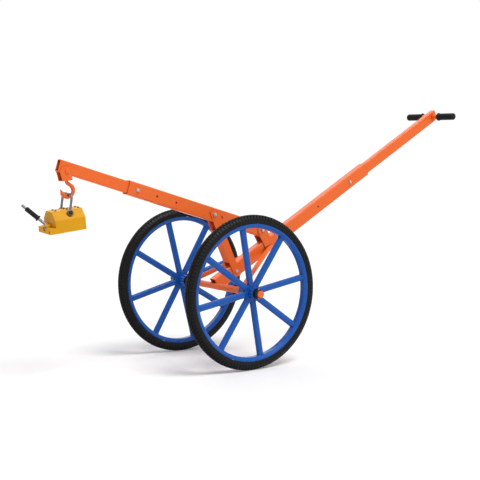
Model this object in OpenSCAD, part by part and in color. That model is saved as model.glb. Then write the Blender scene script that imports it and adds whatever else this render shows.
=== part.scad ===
// Two-wheeled manhole cover lifter: a telescoping boom and a telescoping T handle bolted into a
// triangle on one axle, with a swinging hook and a lever-switched lifting magnet at the boom's tip.
// Millimetres. The axle lies along Y, the boom points to -X, the handle to +X, and Z is up.
// The origin is on the ground under the middle of the axle.

/* [Wheels] */
// Outer radius of the tyre
wheel_r = 330; // [310:1:350]
// Distance between the two wheel planes
track = 550; // [500:1:620]
// Width of the tyre
tyre_w = 48; // [44:1:52]
// Thickness of the tyre's casing
tyre_wall = 5; // [4:0.5:7]
// Gap between the tyre's two beads
bead_gap = 16; // [10:1:20]
// How far the tyre stands out past the rim's lip
tyre_cover = 38; // [36:1:40]
// Depth of the rim from its lip to its inner face
rim_depth = 18; // [16:1:24]
// Width of the rim over its flanges
rim_w = 38; // [36:1:39]
// Width of the rim's flat inner band
rim_well = 24; // [22:1:28]
// Rise from the rim's inner band to its sides
rim_step = 11; // [8:0.5:12]
// Thickness of the rim's sheet
rim_wall = 3; // [2:0.5:4]
// Spokes in each wheel
spoke_count = 8; // [5:1:8]
// Width of a spoke across the wheel's face
spoke_w = 28; // [18:1:30]
// Thickness of a spoke along the axle
spoke_t = 23; // [14:1:24]
// Wall of the spoke tube
spoke_wall = 2; // [1.5:0.5:3]
// Corner radius of the spoke tube
spoke_corner = 4; // [3:0.5:6]
// Angle of the first spoke of the near wheel
near_phase = 9.7; // [0:0.1:45]
// Angle of the first spoke of the far wheel
far_phase = 14.2; // [0:0.1:45]
// Outer radius of the hub's barrel
hub_r = 26; // [24:1:30]
// Length of the hub's barrel
hub_len = 101; // [90:1:120]
// How far the hub's middle lies inside the wheel's plane
hub_shift = 10; // [0:1:15]
// Wall of the hub's barrel at the bearings
hub_wall = 3; // [2:0.5:4]
// Width of each bearing
bearing_w = 14; // [10:1:20]

/* [Axle] */
// Radius of the axle
axle_r = 15; // [13:0.5:17]
// Length of axle past the hub's outer end
axle_over = 29; // [26:1:45]
// Outer radius of the collars on the axle's ends
axle_collar_r = 18; // [17:0.5:21]
// Width of the collars on the axle's ends
axle_collar_w = 22; // [18:0.5:24]
// Outer radius of the shoulder rings inside the wheels
shoulder_r = 20; // [18:0.5:23]
// Width of the shoulder rings
shoulder_w = 6; // [4:0.5:12]
// Radius of the cotter pins
cotter_r = 2.5; // [2:0.1:3]
// Length of the cotter pins
cotter_len = 44; // [40:1:60]

/* [Tubes] */
// Height of the outer tubes of boom and handle
tube_h = 60; // [55:1:70]
// Width of the outer tubes of boom and handle
tube_w = 40; // [38:1:50]
// Wall of the outer tubes
tube_wall = 3; // [2.5:0.5:4]
// Outside corner radius of the outer tubes
tube_corner = 6; // [5:0.5:8]
// Gap round the sliding tubes
slide_gap = 2; // [1.5:0.5:3]
// Wall of the sliding tubes
slide_wall = 3; // [2.5:0.5:4]
// Outside corner radius of the sliding tubes
slide_corner = 5; // [4.5:0.5:7]

/* [Handle] */
// Slope of the handle above the ground
handle_angle = 29.6; // [20:0.1:40]
// Height of the handle's axis over the axle's axis
handle_off = 5; // [2:0.5:8]
// Place of the handle tube's lower end, from the axle
handle_head = 4; // [0:0.5:8]
// Place of the handle's mouth, from the axle
handle_mouth = 1010; // [960:1:1060]
// Place of the handle's end, from the axle
handle_end = 1551; // [1450:1:1650]
// Place of the handle's lock bolt, back from the mouth
handle_lock_back = 121; // [90:1:150]
// Place of the handle's spare lock hole, from the axle
handle_index = 664; // [620:1:668]
// How far the handle pulls out
handle_travel = 180; // [100:1:185]
// Sliding tube behind the last bolt place
handle_slide_tail = 19; // [16:1:24]
// Thickness of the cap on the handle's end
end_cap_t = 3; // [2:0.5:6]
// Place of the T bar, back from the handle's end
tee_back = 22; // [18:1:40]
// Radius of the T bar
tee_r = 12.5; // [10:0.5:14]
// Wall of the T bar
tee_wall = 2.5; // [2:0.5:4]
// Length of the T bar's tube
tee_len = 302; // [280:1:400]
// Radius of the hand grips
grip_r = 16.5; // [16:0.5:19]
// Length of each hand grip
grip_len = 104; // [90:1:110]
// Closed end of each hand grip
grip_cap = 7; // [5:0.5:10]
// Rounding of the hand grip's outer end
grip_round = 5; // [3:0.5:6]
// Radius of the hand grip's flange
grip_flange_r = 19.5; // [19:0.5:26]
// Thickness of the hand grip's flange
grip_flange_t = 5; // [3:0.5:8]

/* [Boom] */
// Slope of the boom above the ground
boom_angle = 16.9; // [10:0.1:22]
// Place of the boom's pivot along the handle, from the axle
pivot_s = 330; // [300:1:360]
// Height of the boom's pivot over the handle's axis
pivot_up = 81; // [76:1:95]
// Length of boom tube behind the pivot
boom_tail = 28; // [20:1:30]
// Place of the boom's mouth, from the pivot
boom_mouth = 718; // [700:1:750]
// Place of the boom's tip, from the pivot
boom_end = 1044; // [1000:1:1120]
// Place of the boom's lock bolt, back from the mouth
boom_lock_back = 43; // [30:1:60]
// Distance between the boom's lock holes
index_pitch = 100; // [60:1:105]
// Spare lock holes in the boom
index_count = 2; // [1:1:2]
// Place of the boom's spare post hole, from the pivot
boom_spare = 226; // [200:1:240]
// How far the boom pulls out
boom_travel = 200; // [100:1:210]
// How far the slots in the sliding tubes run past the bolts' travel
slot_over = 4; // [2:0.5:6]
// Sliding tube behind the last bolt place
boom_slide_tail = 75; // [20:1:90]

/* [Post, ears and braces] */
// Place of the post's foot along the handle, from the axle
post_s = 118; // [100:1:140]
// Place of the post's head along the boom, from the pivot
post_l = 272; // [264:1:290]
// Depth of the post in the side view
post_d = 34; // [30:1:40]
// Wall of the post
post_wall = 4; // [3:0.5:6]
// Length of post below its foot bolt
post_tail = 28; // [22:1:34]
// Length of post above its head bolt
post_top = 22; // [18:1:26]
// Clear fork over the foot bolt, at the front
foot_fork = 48; // [40:1:60]
// Clear fork under the head bolt, at the front
head_fork = 72; // [66:1:90]
// Width of the boom's pivot ears
ear_w = 46; // [40:1:54]
// Thickness of the boom's pivot ears
ear_t = 5; // [4:0.5:8]
// How far the ears run down the handle's sides
ear_lap = 28; // [20:1:40]
// Radius of the brace rods
brace_r = 10.5; // [6:0.5:11]
// Place of the braces on the handle, from the axle
brace_s = 330; // [280:1:360]
// Drop of the braces below the handle's axis
brace_drop = 12; // [4:0.5:18]
// Distance of the braces' feet from the shoulder rings
brace_set = 14; // [12:1:50]

/* [Bolts] */
// Radius of the frame's bolts
bolt_r = 4; // [3.5:0.5:5]
// Clearance of a bolt in its hole
bolt_gap = 0.2; // [0.1:0.05:0.4]
// Width across the flats of bolt heads and nuts
bolt_af = 13; // [12:1:15]
// Height of a bolt head
head_h = 5.5; // [4:0.5:7]
// Height of a nut
nut_h = 6.5; // [5:0.5:9]
// Radius of a bolt's washer
washer_r = 8; // [7.5:0.5:10]
// Thickness of a bolt's washer
washer_t = 1.5; // [1:0.5:2.5]
// Thread past a nut
bolt_over = 3; // [2:0.5:6]

/* [Hanger and hook] */
// Place of the hanger's pin, back from the boom's tip
pin_back = 37; // [34:1:60]
// Drop of the hanger's pin below the boom's axis
pin_drop = 14; // [12:0.5:16]
// Radius of the hanger's pin
pin_r = 6; // [5:0.5:7]
// Radius of the pin's heads
pin_head_r = 10; // [9:0.5:12]
// Thickness of the pin's heads
pin_head_t = 4; // [2:0.5:6]
// Lean of the hanger and the hook, with the front down
hang_tilt = 6.5; // [0:0.5:10]
// Hanger's foot ahead of its pin
hanger_front = 25; // [22:1:28]
// Hanger's foot behind its pin
hanger_rear = 19; // [17:1:24]
// How far the hanger's nose leans past its foot
hanger_nose = 7; // [0:0.5:10]
// Height of the hanger's nose over its pin
hanger_nose_up = 6; // [2:0.5:12]
// Height of the hanger's cheeks over its pin
hanger_up = 22; // [16:0.5:26]
// Cut corners of the hanger's cheeks
hanger_cut = 9; // [6:0.5:10]
// Thickness of the hanger's plate
hanger_t = 4; // [3:0.5:5]
// Depth of the hanger below its pin
hanger_drop = 38; // [37:0.5:60]
// Radius of the hook's shank
shank_r = 7; // [6:0.5:7.5]
// Width across the flats of the hook's nut
hook_nut_af = 20; // [19:1:22]
// Height of the hook's nut
hook_nut_h = 6; // [5:0.5:8]
// Radius of the washer under the hook's nut
hook_washer_r = 12; // [11.5:0.5:13]
// Thickness of the washer under the hook's nut
hook_washer_t = 1.5; // [1:0.5:3]
// Thread past the hook's nut
shank_over = 1.5; // [1:0.5:3]
// Radius of the hook's rod
hook_r = 8; // [7.5:0.5:9]
// Radius of the hook's bowl, to the middle of the rod
bowl_r = 25.5; // [24:0.5:30]
// Drop of the bowl's middle below the hanger
hook_drop = 40.5; // [38:0.5:48]
// Angle round the bowl where the neck meets it
neck_angle = 40; // [35:1:50]
// Drop of the hook's neck below the hanger
neck_drop = 13; // [11:0.5:15]
// Angle round the bowl, short of half a turn, where the point starts
hook_tip_angle = 20; // [10:1:30]
// Length of the hook's tapered point
hook_tip_len = 19; // [14:0.5:22]
// Radius of the hook's point
hook_tip_r = 1.5; // [1:0.5:3]
// How far the knuckles of the hook's neck stand out of its rod
knuckle = 0.6; // [0.4:0.1:1]

/* [Shackle and magnet] */
// Radius of the shackle's rod
bow_r = 5; // [4.5:0.5:5.5]
// Half of the shackle's width, to the middle of the rod
bow_half = 39.5; // [39:0.5:41]
// Bend of the shackle's upper corners, to the middle of the rod
bow_bend = 18; // [14:1:24]
// Height of the shackle, from its pins to the top of its bow
bow_h = 71; // [69:0.5:80]
// Lean of the shackle on the hook, with its pins to the front
bow_tilt = 6.5; // [0:0.5:12]
// Lean of the shackle on the hook, with its near leg down
bow_roll = 4; // [0:0.5:8]
// Tip of the magnet on the shackle's pins, with its front down
load_tip = 13; // [0:0.5:16]
// Radius of the shackle's eyes
eye_r = 11.5; // [11:0.5:13]
// Thickness of the shackle's eyes
eye_t = 10; // [8:0.5:11]
// Radius of the shackle's pins
lug_r = 5; // [4:0.5:6]
// Radius of the heads of the shackle's pins
lug_head_r = 8.5; // [8:0.5:11]
// Thickness of the heads of the shackle's pins
lug_head_t = 5; // [4:0.5:8]
// Depth of the shackle's pins in the housing
lug_depth = 12; // [8:0.5:14]
// Height of the shackle's pins over the magnet's face
lug_up = 75.5; // [74:0.5:77]
// How far the shackle's pins lie behind the housing's middle
lug_back = 6; // [0:0.5:7]
// Length of the magnet's base
base_len = 159; // [155:1:170]
// Width of the magnet
mag_w = 107; // [103:1:110]
// Thickness of the magnet's base
base_h = 24; // [22:0.5:26]
// Length of the magnet's housing
house_len = 133; // [128:1:135]
// Height of the magnet
mag_h = 85; // [83:0.5:90]
// Height of the housing's shoulders over the magnet's face
shoulder_up = 51; // [46:1:56]
// Width of the housing's top
roof_w = 54; // [50:1:58]
// Thickness of the housing's end covers
cover_t = 8; // [6:0.5:10]
// Radius of the magnet's rotor
rotor_r = 18; // [14:0.5:19]
// Height of the rotor's axis over the magnet's face
rotor_up = 24; // [23:0.5:25]
// Radius of the rotor's shaft
shaft_r = 6; // [5:0.5:7]
// Clearance round the eyes in the housing's pockets
pocket_gap = 6; // [4:0.5:8]
// Radius of the screws in the housing's top
roof_screw_r = 4; // [3:0.5:5]
// Height of the heads of the screws in the housing's top
roof_screw_h = 4; // [3:0.5:5]
// Depth of the screws in the housing's top
roof_screw_depth = 10; // [6:0.5:12]
// Distance between the screws across the housing's top
roof_screw_y = 27; // [22:0.5:30]
// Distance between the pairs of screws along the housing's top
roof_screw_x = 50; // [40:0.5:51]
// Radius of the screws in the base's front
base_screw_r = 4; // [3:0.5:5]
// Depth of the holes for the screws in the base's front
base_screw_depth = 9; // [6:0.5:12]
// How far the screws lie below the base's front
base_screw_sink = 1.5; // [1:0.5:3]
// Distance of the base's screws from its edges
base_screw_edge = 9; // [7:0.5:10]

/* [Lever] */
// Radius of the lever's hub
lever_hub_r = 12; // [11:0.5:14]
// Length of the lever's hub
lever_hub_len = 22; // [20:0.5:24]
// Clearance round the lever's hub in the base
trough_gap = 3; // [1:0.5:4]
// Length of the lever, from the rotor's axis
lever_len = 137; // [125:1:150]
// Radius of the lever's rod
lever_r = 6; // [5:0.5:6.5]
// Depth of the lever's rod in its hub
lever_seat = 1; // [0.5:0.5:1.5]
// Distance of the lever's root from the housing
lever_root = 7; // [6:0.5:8]
// Turn of the lever about the rotor's axis at rest, from level
lever_angle = 51; // [48:0.5:60]
// Lean of the lever away from the housing
lever_lean = 32; // [26:1:36]
// Place of the lever's grip, from the rotor's axis
lever_grip_at = 51; // [44:1:58]
// Length of the lever's grip
lever_grip_len = 65; // [56:1:70]
// Radius of the lever's grip
lever_grip_r = 10; // [8.5:0.5:11]
// Radius of the lever grip's flange
lever_flange_r = 13; // [12:0.5:15]
// Thickness of the lever grip's flange
lever_flange_t = 5; // [3:0.5:8]
// Radius of the lever bolt's head
lever_bolt_r = 5; // [4:0.5:6]
// Height of the lever bolt's head
lever_bolt_h = 4; // [3:0.5:5]
// Radius of the lever bolt's thread
lever_thread_r = 3; // [2.5:0.5:4]
// Length of the lever bolt's thread
lever_thread_len = 15; // [10:0.5:18]

/* [Hidden] */
$fn = 96;
// Running clearance of shafts in their bores
run_gap = 0.05;
// Running clearance of the shackle's eyes on their pins
eye_gap = 0.1;
// Clearance between faces that move past each other
face_gap = 0.3;
// Overrun of all cuts
over = 1;
// Sides of hexagon heads and nuts
hex = 6;
// Room between the boom and the post's rear wall
head_room = 4;

lip_r = wheel_r - tyre_cover;
rim_in = lip_r - rim_depth;
section_r = wheel_r - tyre_w / 2;
seat_half = rim_w / 2 - rim_wall;
well_half = rim_well / 2 - rim_wall / 2;
boss_r = spoke_w / 2 / sin(180 / spoke_count) + hub_wall / 2;
bearing_r = hub_r - hub_wall;
hub_out = track / 2 + hub_len / 2 - hub_shift;
hub_in = track / 2 - hub_len / 2 - hub_shift;
brace_y = hub_in - face_gap - shoulder_w - brace_set;
handle_lock = handle_mouth - handle_lock_back;
boom_lock = boom_mouth - boom_lock_back;
boom_holes = concat([0, boom_spare, post_l], [for (i = [0 : index_count]) boom_lock - i * index_pitch]);
axle_half = hub_out + axle_over;
slide_h = tube_h - 2 * (tube_wall + slide_gap);
slide_w = tube_w - 2 * (tube_wall + slide_gap);
hole_r = bolt_r + bolt_gap;
slot_r = bolt_r + face_gap;
post_w = tube_w + 2 * post_wall;
ear_half = tube_w / 2 + ear_t;
tee_s = handle_end - tee_back;
grip_in = tee_len / 2 + grip_cap - grip_len;

axle_p = [0, 0, wheel_r];
hd = [cos(handle_angle), 0, sin(handle_angle)];
hn = [-sin(handle_angle), 0, cos(handle_angle)];
bd = [-cos(boom_angle), 0, sin(boom_angle)];
bn = [sin(boom_angle), 0, cos(boom_angle)];
pivot_p = axle_p + pivot_s * hd + (handle_off + pivot_up) * hn;
foot_p = axle_p + post_s * hd + handle_off * hn;
head_p = pivot_p + post_l * bd;
post_len = norm(head_p - foot_p);
post_lean = atan2(head_p[0] - foot_p[0], head_p[2] - foot_p[2]);
pin_p = pivot_p + (boom_end - pin_back) * bd - pin_drop * bn;
hanger_in = slide_w / 2 + face_gap;
hanger_out = hanger_in + hanger_t;
hook_x = pin_p[0];
web_z = pin_p[2] - hanger_drop;
nut_z = web_z + hanger_t + face_gap;
bowl_z = web_z - hook_drop;
neck_z = web_z - neck_drop;
bowl_p = pin_p + (hanger_drop + hook_drop) * [sin(hang_tilt), 0, -cos(hang_tilt)];
load_x = bowl_p[0];
rod_z = bowl_p[2] - bowl_r;
bow_z = rod_z + hook_r + bow_r + face_gap;
lug_z = bow_z - bow_h;
face_z = lug_z - lug_up;
eye_in = bow_half - eye_t / 2;
eye_out = bow_half + eye_t / 2;
// Inner end of the shackle's pins
lug_root = eye_in - face_gap - lug_depth;
house_x = load_x - house_len / 2 - lug_back;
base_x = house_x + house_len - base_len;
rotor_z = face_z + rotor_up;
rotor_len = house_len - 2 * (cover_t + face_gap);
hub_end_x = house_x - face_gap - lever_hub_len;
lever_x = house_x - face_gap - lever_root;

// Places its children in the handle's frame: X along the handle from the axle, Z square to it
module on_handle() {
    translate(axle_p) rotate([0, -handle_angle, 0]) children();
}

// Places its children in the boom's frame: -X along the boom from the pivot, Z square to it
module on_boom() {
    translate(pivot_p) rotate([0, boom_angle, 0]) children();
}

// Places its children in the post's frame: Z from the foot bolt to the head bolt
module on_post() {
    translate(foot_p) rotate([0, post_lean, 0]) children();
}

// Leans its children with the hanger about its pin
module on_hang() {
    translate(pin_p) rotate([0, -hang_tilt, 0]) translate(-pin_p) children();
}

// Leans its children with the shackle on the hook
module on_bow() {
    translate([load_x, 0, rod_z]) rotate([bow_roll, 0, 0]) translate([0, 0, bow_z - rod_z])
        rotate([0, bow_tilt, 0]) translate([-load_x, 0, -bow_z]) children();
}

// Tips its children with the magnet on the shackle's pins
module on_load() {
    on_bow() translate([load_x, 0, lug_z]) rotate([0, -load_tip, 0])
        translate([-load_x, 0, -lug_z]) children();
}

// Places its children at the middle of the near (-1) or the far (1) wheel, Z along the axle
module on_wheel(side) {
    translate([0, side * track / 2, wheel_r]) rotate([-90, 0, 0]) children();
}

// Cylinder along Y
module y_bar(r, from, to) {
    translate([0, from, 0]) rotate([-90, 0, 0]) cylinder(r = r, h = to - from);
}

// Cylinder along X
module x_bar(r, from, to) {
    translate([from, 0, 0]) rotate([0, 90, 0]) cylinder(r = r, h = to - from);
}

// Hexagon along Y, by its width across the flats
module y_hex(af, from, to) {
    translate([0, from, 0]) rotate([-90, 0, 0])
        cylinder(d = af / cos(180 / hex), h = to - from, $fn = hex);
}

// Rectangle with round corners about the origin
module rounded(w, h, r) {
    square([w - 2 * r, h], center = true);
    square([w, h - 2 * r], center = true);
    for (i = [-1, 1], j = [-1, 1]) translate([i * (w / 2 - r), j * (h / 2 - r)]) circle(r = r);
}

// Solid bar with round corners along X, w across Y and h across Z
module x_block(w, h, r, from, to) {
    translate([from, 0, 0]) rotate([90, 0, 90]) linear_extrude(to - from) rounded(w, h, r);
}

// Rectangular tube along X
module x_tube(w, h, r, wall, from, to) {
    translate([from, 0, 0]) rotate([90, 0, 90]) linear_extrude(to - from) difference() {
        rounded(w, h, r);
        rounded(w - 2 * wall, h - 2 * wall, r - wall);
    }
}

// Slot across Y between two places along X
module y_slot(r, half, from, to) {
    translate([from, 0, 0]) y_bar(r, -half, half);
    translate([to, 0, 0]) y_bar(r, -half, half);
    translate([from, -half, -r]) cube([to - from, 2 * half, 2 * r]);
}

// Bolt along Y with its head at the near side, through a stack of the given half width
module bolt(half) {
    y_hex(bolt_af, -half - washer_t - head_h, -half - washer_t);
    y_bar(bolt_r, -half - washer_t - head_h / 2, half + washer_t + nut_h + bolt_over);
}

module nut(half) {
    difference() {
        y_hex(bolt_af, half + washer_t, half + washer_t + nut_h);
        y_bar(bolt_r, half, half + washer_t + nut_h + over);
    }
}

module washer_pair(half) {
    for (side = [-1, 1]) difference() {
        y_bar(washer_r, side * half + (side - 1) * washer_t / 2, side * half + (side + 1) * washer_t / 2);
        y_bar(bolt_r, -half - washer_t - over, half + washer_t + over);
    }
}

// Places its children at the frame's bolts
module at_pivot() { translate(pivot_p) children(); }
module at_head() { translate(head_p) on_lean() children(); }
module at_foot() { translate(foot_p) on_lean() children(); }
module on_lean() { rotate([0, post_lean, 0]) children(); }
module at_boom_lock() { on_boom() translate([-boom_lock, 0, 0]) children(); }
module at_handle_lock() { on_handle() translate([handle_lock, 0, handle_off]) children(); }

// Axle and its fastenings
module axle() {
    color("orangered") difference() {
        translate(axle_p) y_bar(axle_r, -axle_half, axle_half);
        cotter_bores();
    }
}

module at_cotter(side) {
    translate(axle_p + [0, side * (hub_out + face_gap + axle_collar_w / 2), 0]) children();
}

module cotter_bores() {
    for (side = [-1, 1]) at_cotter(side)
        translate([0, 0, -axle_collar_r - over]) cylinder(r = cotter_r, h = 2 * (axle_collar_r + over));
}

module axle_ring(r, from, to) {
    translate(axle_p) difference() {
        y_bar(r, from, to);
        y_bar(axle_r, from - over, to + over);
    }
}

module axle_shoulders() {
    color("dimgray") {
        axle_ring(shoulder_r, -hub_in + face_gap, -hub_in + face_gap + shoulder_w);
        axle_ring(shoulder_r, hub_in - face_gap - shoulder_w, hub_in - face_gap);
    }
}

module axle_collars() {
    color("dimgray") difference() {
        union() {
            axle_ring(axle_collar_r, -hub_out - face_gap - axle_collar_w, -hub_out - face_gap);
            axle_ring(axle_collar_r, hub_out + face_gap, hub_out + face_gap + axle_collar_w);
        }
        cotter_bores();
    }
}

module axle_cotters() {
    color("silver") for (side = [-1, 1]) at_cotter(side)
        translate([0, 0, -cotter_len / 2]) cylinder(r = cotter_r, h = cotter_len);
}

// Handle's outer tube, its lower end cut to sit on the axle
module handle_outer_tube() {
    color("darkorange") on_handle() difference() {
        translate([0, 0, handle_off])
            x_tube(tube_w, tube_h, tube_corner, tube_wall, handle_head, handle_mouth);
        y_bar(axle_r, -tube_w / 2 - over, tube_w / 2 + over);
        for (s = [post_s, handle_index, handle_lock]) translate([s, 0, handle_off])
            y_bar(hole_r, -tube_w / 2 - over, tube_w / 2 + over);
    }
}

// Round brace from the handle's side to the axle
module brace(side) {
    top = [brace_s, side * tube_w / 2, handle_off - brace_drop];
    foot = [0, side * brace_y, 0];
    run = top - foot;
    turn = atan2(run[1], run[0]);
    lift = atan2(run[2], norm([run[0], run[1]]));
    color("orange") on_handle() difference() {
        translate(foot) rotate([0, -lift, turn]) x_bar(brace_r, 0, norm(run) + 2 * brace_r);
        y_bar(axle_r, -axle_half, axle_half);
        translate([0, 0, handle_off]) x_block(tube_w, tube_h, tube_corner, 0, handle_mouth);
    }
}

module brace_near() { brace(-1); }
module brace_far() { brace(1); }

// Ear that holds the boom's pivot on the handle's side
module ear(side) {
    color("tomato") on_handle() translate([pivot_s, side * (tube_w + ear_t) / 2, handle_off + pivot_up])
        rotate([90, 0, 0]) translate([0, 0, -ear_t / 2]) linear_extrude(ear_t) difference() {
            union() {
                circle(d = ear_w);
                translate([-ear_w / 2, -pivot_up + tube_h / 2 - ear_lap])
                    square([ear_w, pivot_up - tube_h / 2 + ear_lap]);
            }
            circle(r = hole_r);
        }
}

module ear_near() { ear(-1); }
module ear_far() { ear(1); }

// Post with forked ends that straddle the handle and the boom
module support_post() {
    rear_head_fork = (tube_h / 2 + post_d / 2 * abs(sin(fork_turn()))) / cos(fork_turn()) + head_room;
    color("coral") on_post() difference() {
        translate([-post_d / 2, -post_w / 2, -post_tail])
            cube([post_d, post_w, post_tail + post_len + post_top]);
        translate([-post_d / 2 + post_wall, -tube_w / 2, -post_tail - over])
            cube([post_d - 2 * post_wall, tube_w, post_tail + post_len + post_top + 2 * over]);
        translate([-post_d / 2 - over, -tube_w / 2, -post_tail - over])
            cube([post_d / 2, tube_w, post_tail + foot_fork + over]);
        translate([0, -tube_w / 2, -post_tail - over])
            cube([post_d / 2 + over, tube_w, post_tail + foot_fork + over]);
        translate([-post_d / 2 - over, -tube_w / 2, post_len - head_fork])
            cube([post_d / 2, tube_w, head_fork + post_top + over]);
        translate([0, -tube_w / 2, post_len - rear_head_fork])
            cube([post_d / 2 + over, tube_w, rear_head_fork + post_top + over]);
        for (z = [0, post_len]) translate([0, 0, z]) y_bar(hole_r, -post_w, post_w);
    }
}

// Angle between the post's square and the boom
function fork_turn() = -post_lean + boom_angle;

// Boom's outer tube
module boom_outer_tube() {
    color("darkorange") on_boom() difference() {
        x_tube(tube_w, tube_h, tube_corner, tube_wall, -boom_mouth, boom_tail);
        for (l = boom_holes) translate([-l, 0, 0]) y_bar(hole_r, -tube_w / 2 - over, tube_w / 2 + over);
    }
}

// Bolts of the frame's triangle
module frame_bolts() {
    color("silver") {
        at_pivot() bolt(ear_half);
        at_head() bolt(post_w / 2);
        at_foot() bolt(post_w / 2);
    }
}

module frame_nuts() {
    color("gainsboro") {
        at_pivot() nut(ear_half);
        at_head() nut(post_w / 2);
        at_foot() nut(post_w / 2);
    }
}

module frame_washers() {
    color("lightgray") {
        at_pivot() washer_pair(ear_half);
        at_head() washer_pair(post_w / 2);
        at_foot() washer_pair(post_w / 2);
    }
}

// Bolts that lock the two telescopes
module boom_lock_bolt() { color("silver") at_boom_lock() bolt(tube_w / 2); }
module boom_lock_nut() { color("gainsboro") at_boom_lock() nut(tube_w / 2); }
module handle_lock_bolt() { color("silver") at_handle_lock() bolt(tube_w / 2); }
module handle_lock_nut() { color("gainsboro") at_handle_lock() nut(tube_w / 2); }

module lock_washers() {
    color("lightgray") {
        at_boom_lock() washer_pair(tube_w / 2);
        at_handle_lock() washer_pair(tube_w / 2);
    }
}

// Tyre with its beads inside the rim
module tyre() {
    rotate_extrude() difference() {
        translate([section_r, 0]) circle(d = tyre_w);
        translate([section_r, 0]) circle(r = tyre_w / 2 - tyre_wall);
        translate([0, -bead_gap / 2]) square([section_r, bead_gap]);
        for (j = [0, 1]) mirror([0, j]) translate([0, seat_half]) square([lip_r, tyre_w]);
    }
}

// Rim: a drop-centre channel rolled into a ring
module rim() {
    rotate_extrude() difference() {
        polygon([[rim_in, -rim_well / 2], [rim_in, rim_well / 2], [rim_in + rim_step, rim_w / 2],
            [lip_r, rim_w / 2], [lip_r, -rim_w / 2], [rim_in + rim_step, -rim_w / 2]]);
        polygon([[rim_in + rim_wall, -well_half], [rim_in + rim_wall, well_half],
            [rim_in + rim_step + rim_wall / 2, seat_half], [lip_r + over, seat_half],
            [lip_r + over, -seat_half], [rim_in + rim_step + rim_wall / 2, -seat_half]]);
    }
}

// Spokes: square-cut tubes between the hub's boss and the rim
module spokes(phase) {
    for (k = [0 : spoke_count - 1]) rotate([0, 0, -phase - k * 360 / spoke_count]) intersection() {
        cylinder(r = rim_in, h = 2 * spoke_t, center = true);
        difference() {
            x_tube(spoke_w, spoke_t, spoke_corner, spoke_wall, boss_r / 2, lip_r);
            cylinder(r = boss_r, h = 2 * spoke_t, center = true);
        }
    }
}

// Hub: a barrel with a boss for the spokes and a seat for a bearing at each end
module hub(side) {
    translate([0, 0, -side * hub_shift]) difference() {
        union() {
            cylinder(r = hub_r, h = hub_len, center = true);
            translate([0, 0, side * hub_shift]) cylinder(r = boss_r, h = spoke_t, center = true);
        }
        cylinder(r = (axle_r + bearing_r) / 2, h = hub_len, center = true);
        for (end = [-1, 1]) translate([0, 0, end * (hub_len + over - bearing_w) / 2])
            cylinder(r = bearing_r, h = bearing_w + over, center = true);
    }
}

// Bearing at the +Z (1) or the -Z (-1) end of a hub
module bearing(side, end) {
    translate([0, 0, end * (hub_len - bearing_w) / 2 - side * hub_shift]) difference() {
        cylinder(r = bearing_r, h = bearing_w, center = true);
        cylinder(r = axle_r + run_gap, h = bearing_w + over, center = true);
    }
}

module tyre_near() { color("black") on_wheel(-1) tyre(); }
module rim_near() { color("royalblue") on_wheel(-1) rim(); }
module spokes_near() { color("steelblue") on_wheel(-1) spokes(near_phase); }
module hub_near() { color("blue") on_wheel(-1) hub(-1); }
module bearing_near_outer() { color("gray") on_wheel(-1) bearing(-1, -1); }
module bearing_near_inner() { color("gray") on_wheel(-1) bearing(-1, 1); }
module tyre_far() { color("black") on_wheel(1) tyre(); }
module rim_far() { color("royalblue") on_wheel(1) rim(); }
module spokes_far() { color("steelblue") on_wheel(1) spokes(far_phase); }
module hub_far() { color("blue") on_wheel(1) hub(1); }
module bearing_far_outer() { color("gray") on_wheel(1) bearing(1, 1); }
module bearing_far_inner() { color("gray") on_wheel(1) bearing(1, -1); }

// Boom's sliding tube, slotted for the lock bolt
module boom_inner_tube() {
    color("orange") on_boom() difference() {
        x_tube(slide_w, slide_h, slide_corner, slide_wall, -boom_end,
            -(boom_lock - boom_travel - boom_slide_tail));
        y_slot(slot_r, slide_w, -boom_lock, -(boom_lock - boom_travel - slot_over));
        translate([-(boom_end - pin_back), 0, -pin_drop]) y_bar(pin_r, -slide_w, slide_w);
    }
}

// Pin that the hanger swings on
module hanger_pin() {
    color("silver") translate(pin_p) {
        y_bar(pin_r, -hanger_out - face_gap - pin_head_t, hanger_out + face_gap + pin_head_t);
        for (side = [-1, 1]) translate([0, side * (hanger_out + face_gap + pin_head_t / 2), 0])
            y_bar(pin_head_r, -pin_head_t / 2, pin_head_t / 2);
    }
}

// Side view of the hanger about its pin
module cheek_outline() {
    polygon([[-hanger_front, -hanger_drop], [hanger_rear, -hanger_drop],
        [hanger_rear, hanger_up - hanger_cut], [hanger_rear - hanger_cut, hanger_up],
        [-hanger_front + hanger_cut, hanger_up], [-hanger_front - hanger_nose, hanger_nose_up]]);
}

// Bent plate that straddles the boom's tip and carries the hook
module hanger_bracket() {
    color("tomato") on_hang() translate(pin_p) difference() {
        rotate([90, 0, 0]) translate([0, 0, -hanger_out]) linear_extrude(2 * hanger_out) cheek_outline();
        translate([-2 * hanger_drop, -hanger_in, -hanger_drop + hanger_t])
            cube([4 * hanger_drop, 2 * hanger_in, 2 * hanger_drop]);
        y_bar(pin_r + run_gap, -hanger_out - over, hanger_out + over);
        translate([0, 0, -hanger_drop - over])
            cylinder(r = shank_r + run_gap, h = hanger_t + 2 * over);
    }
}

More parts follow.
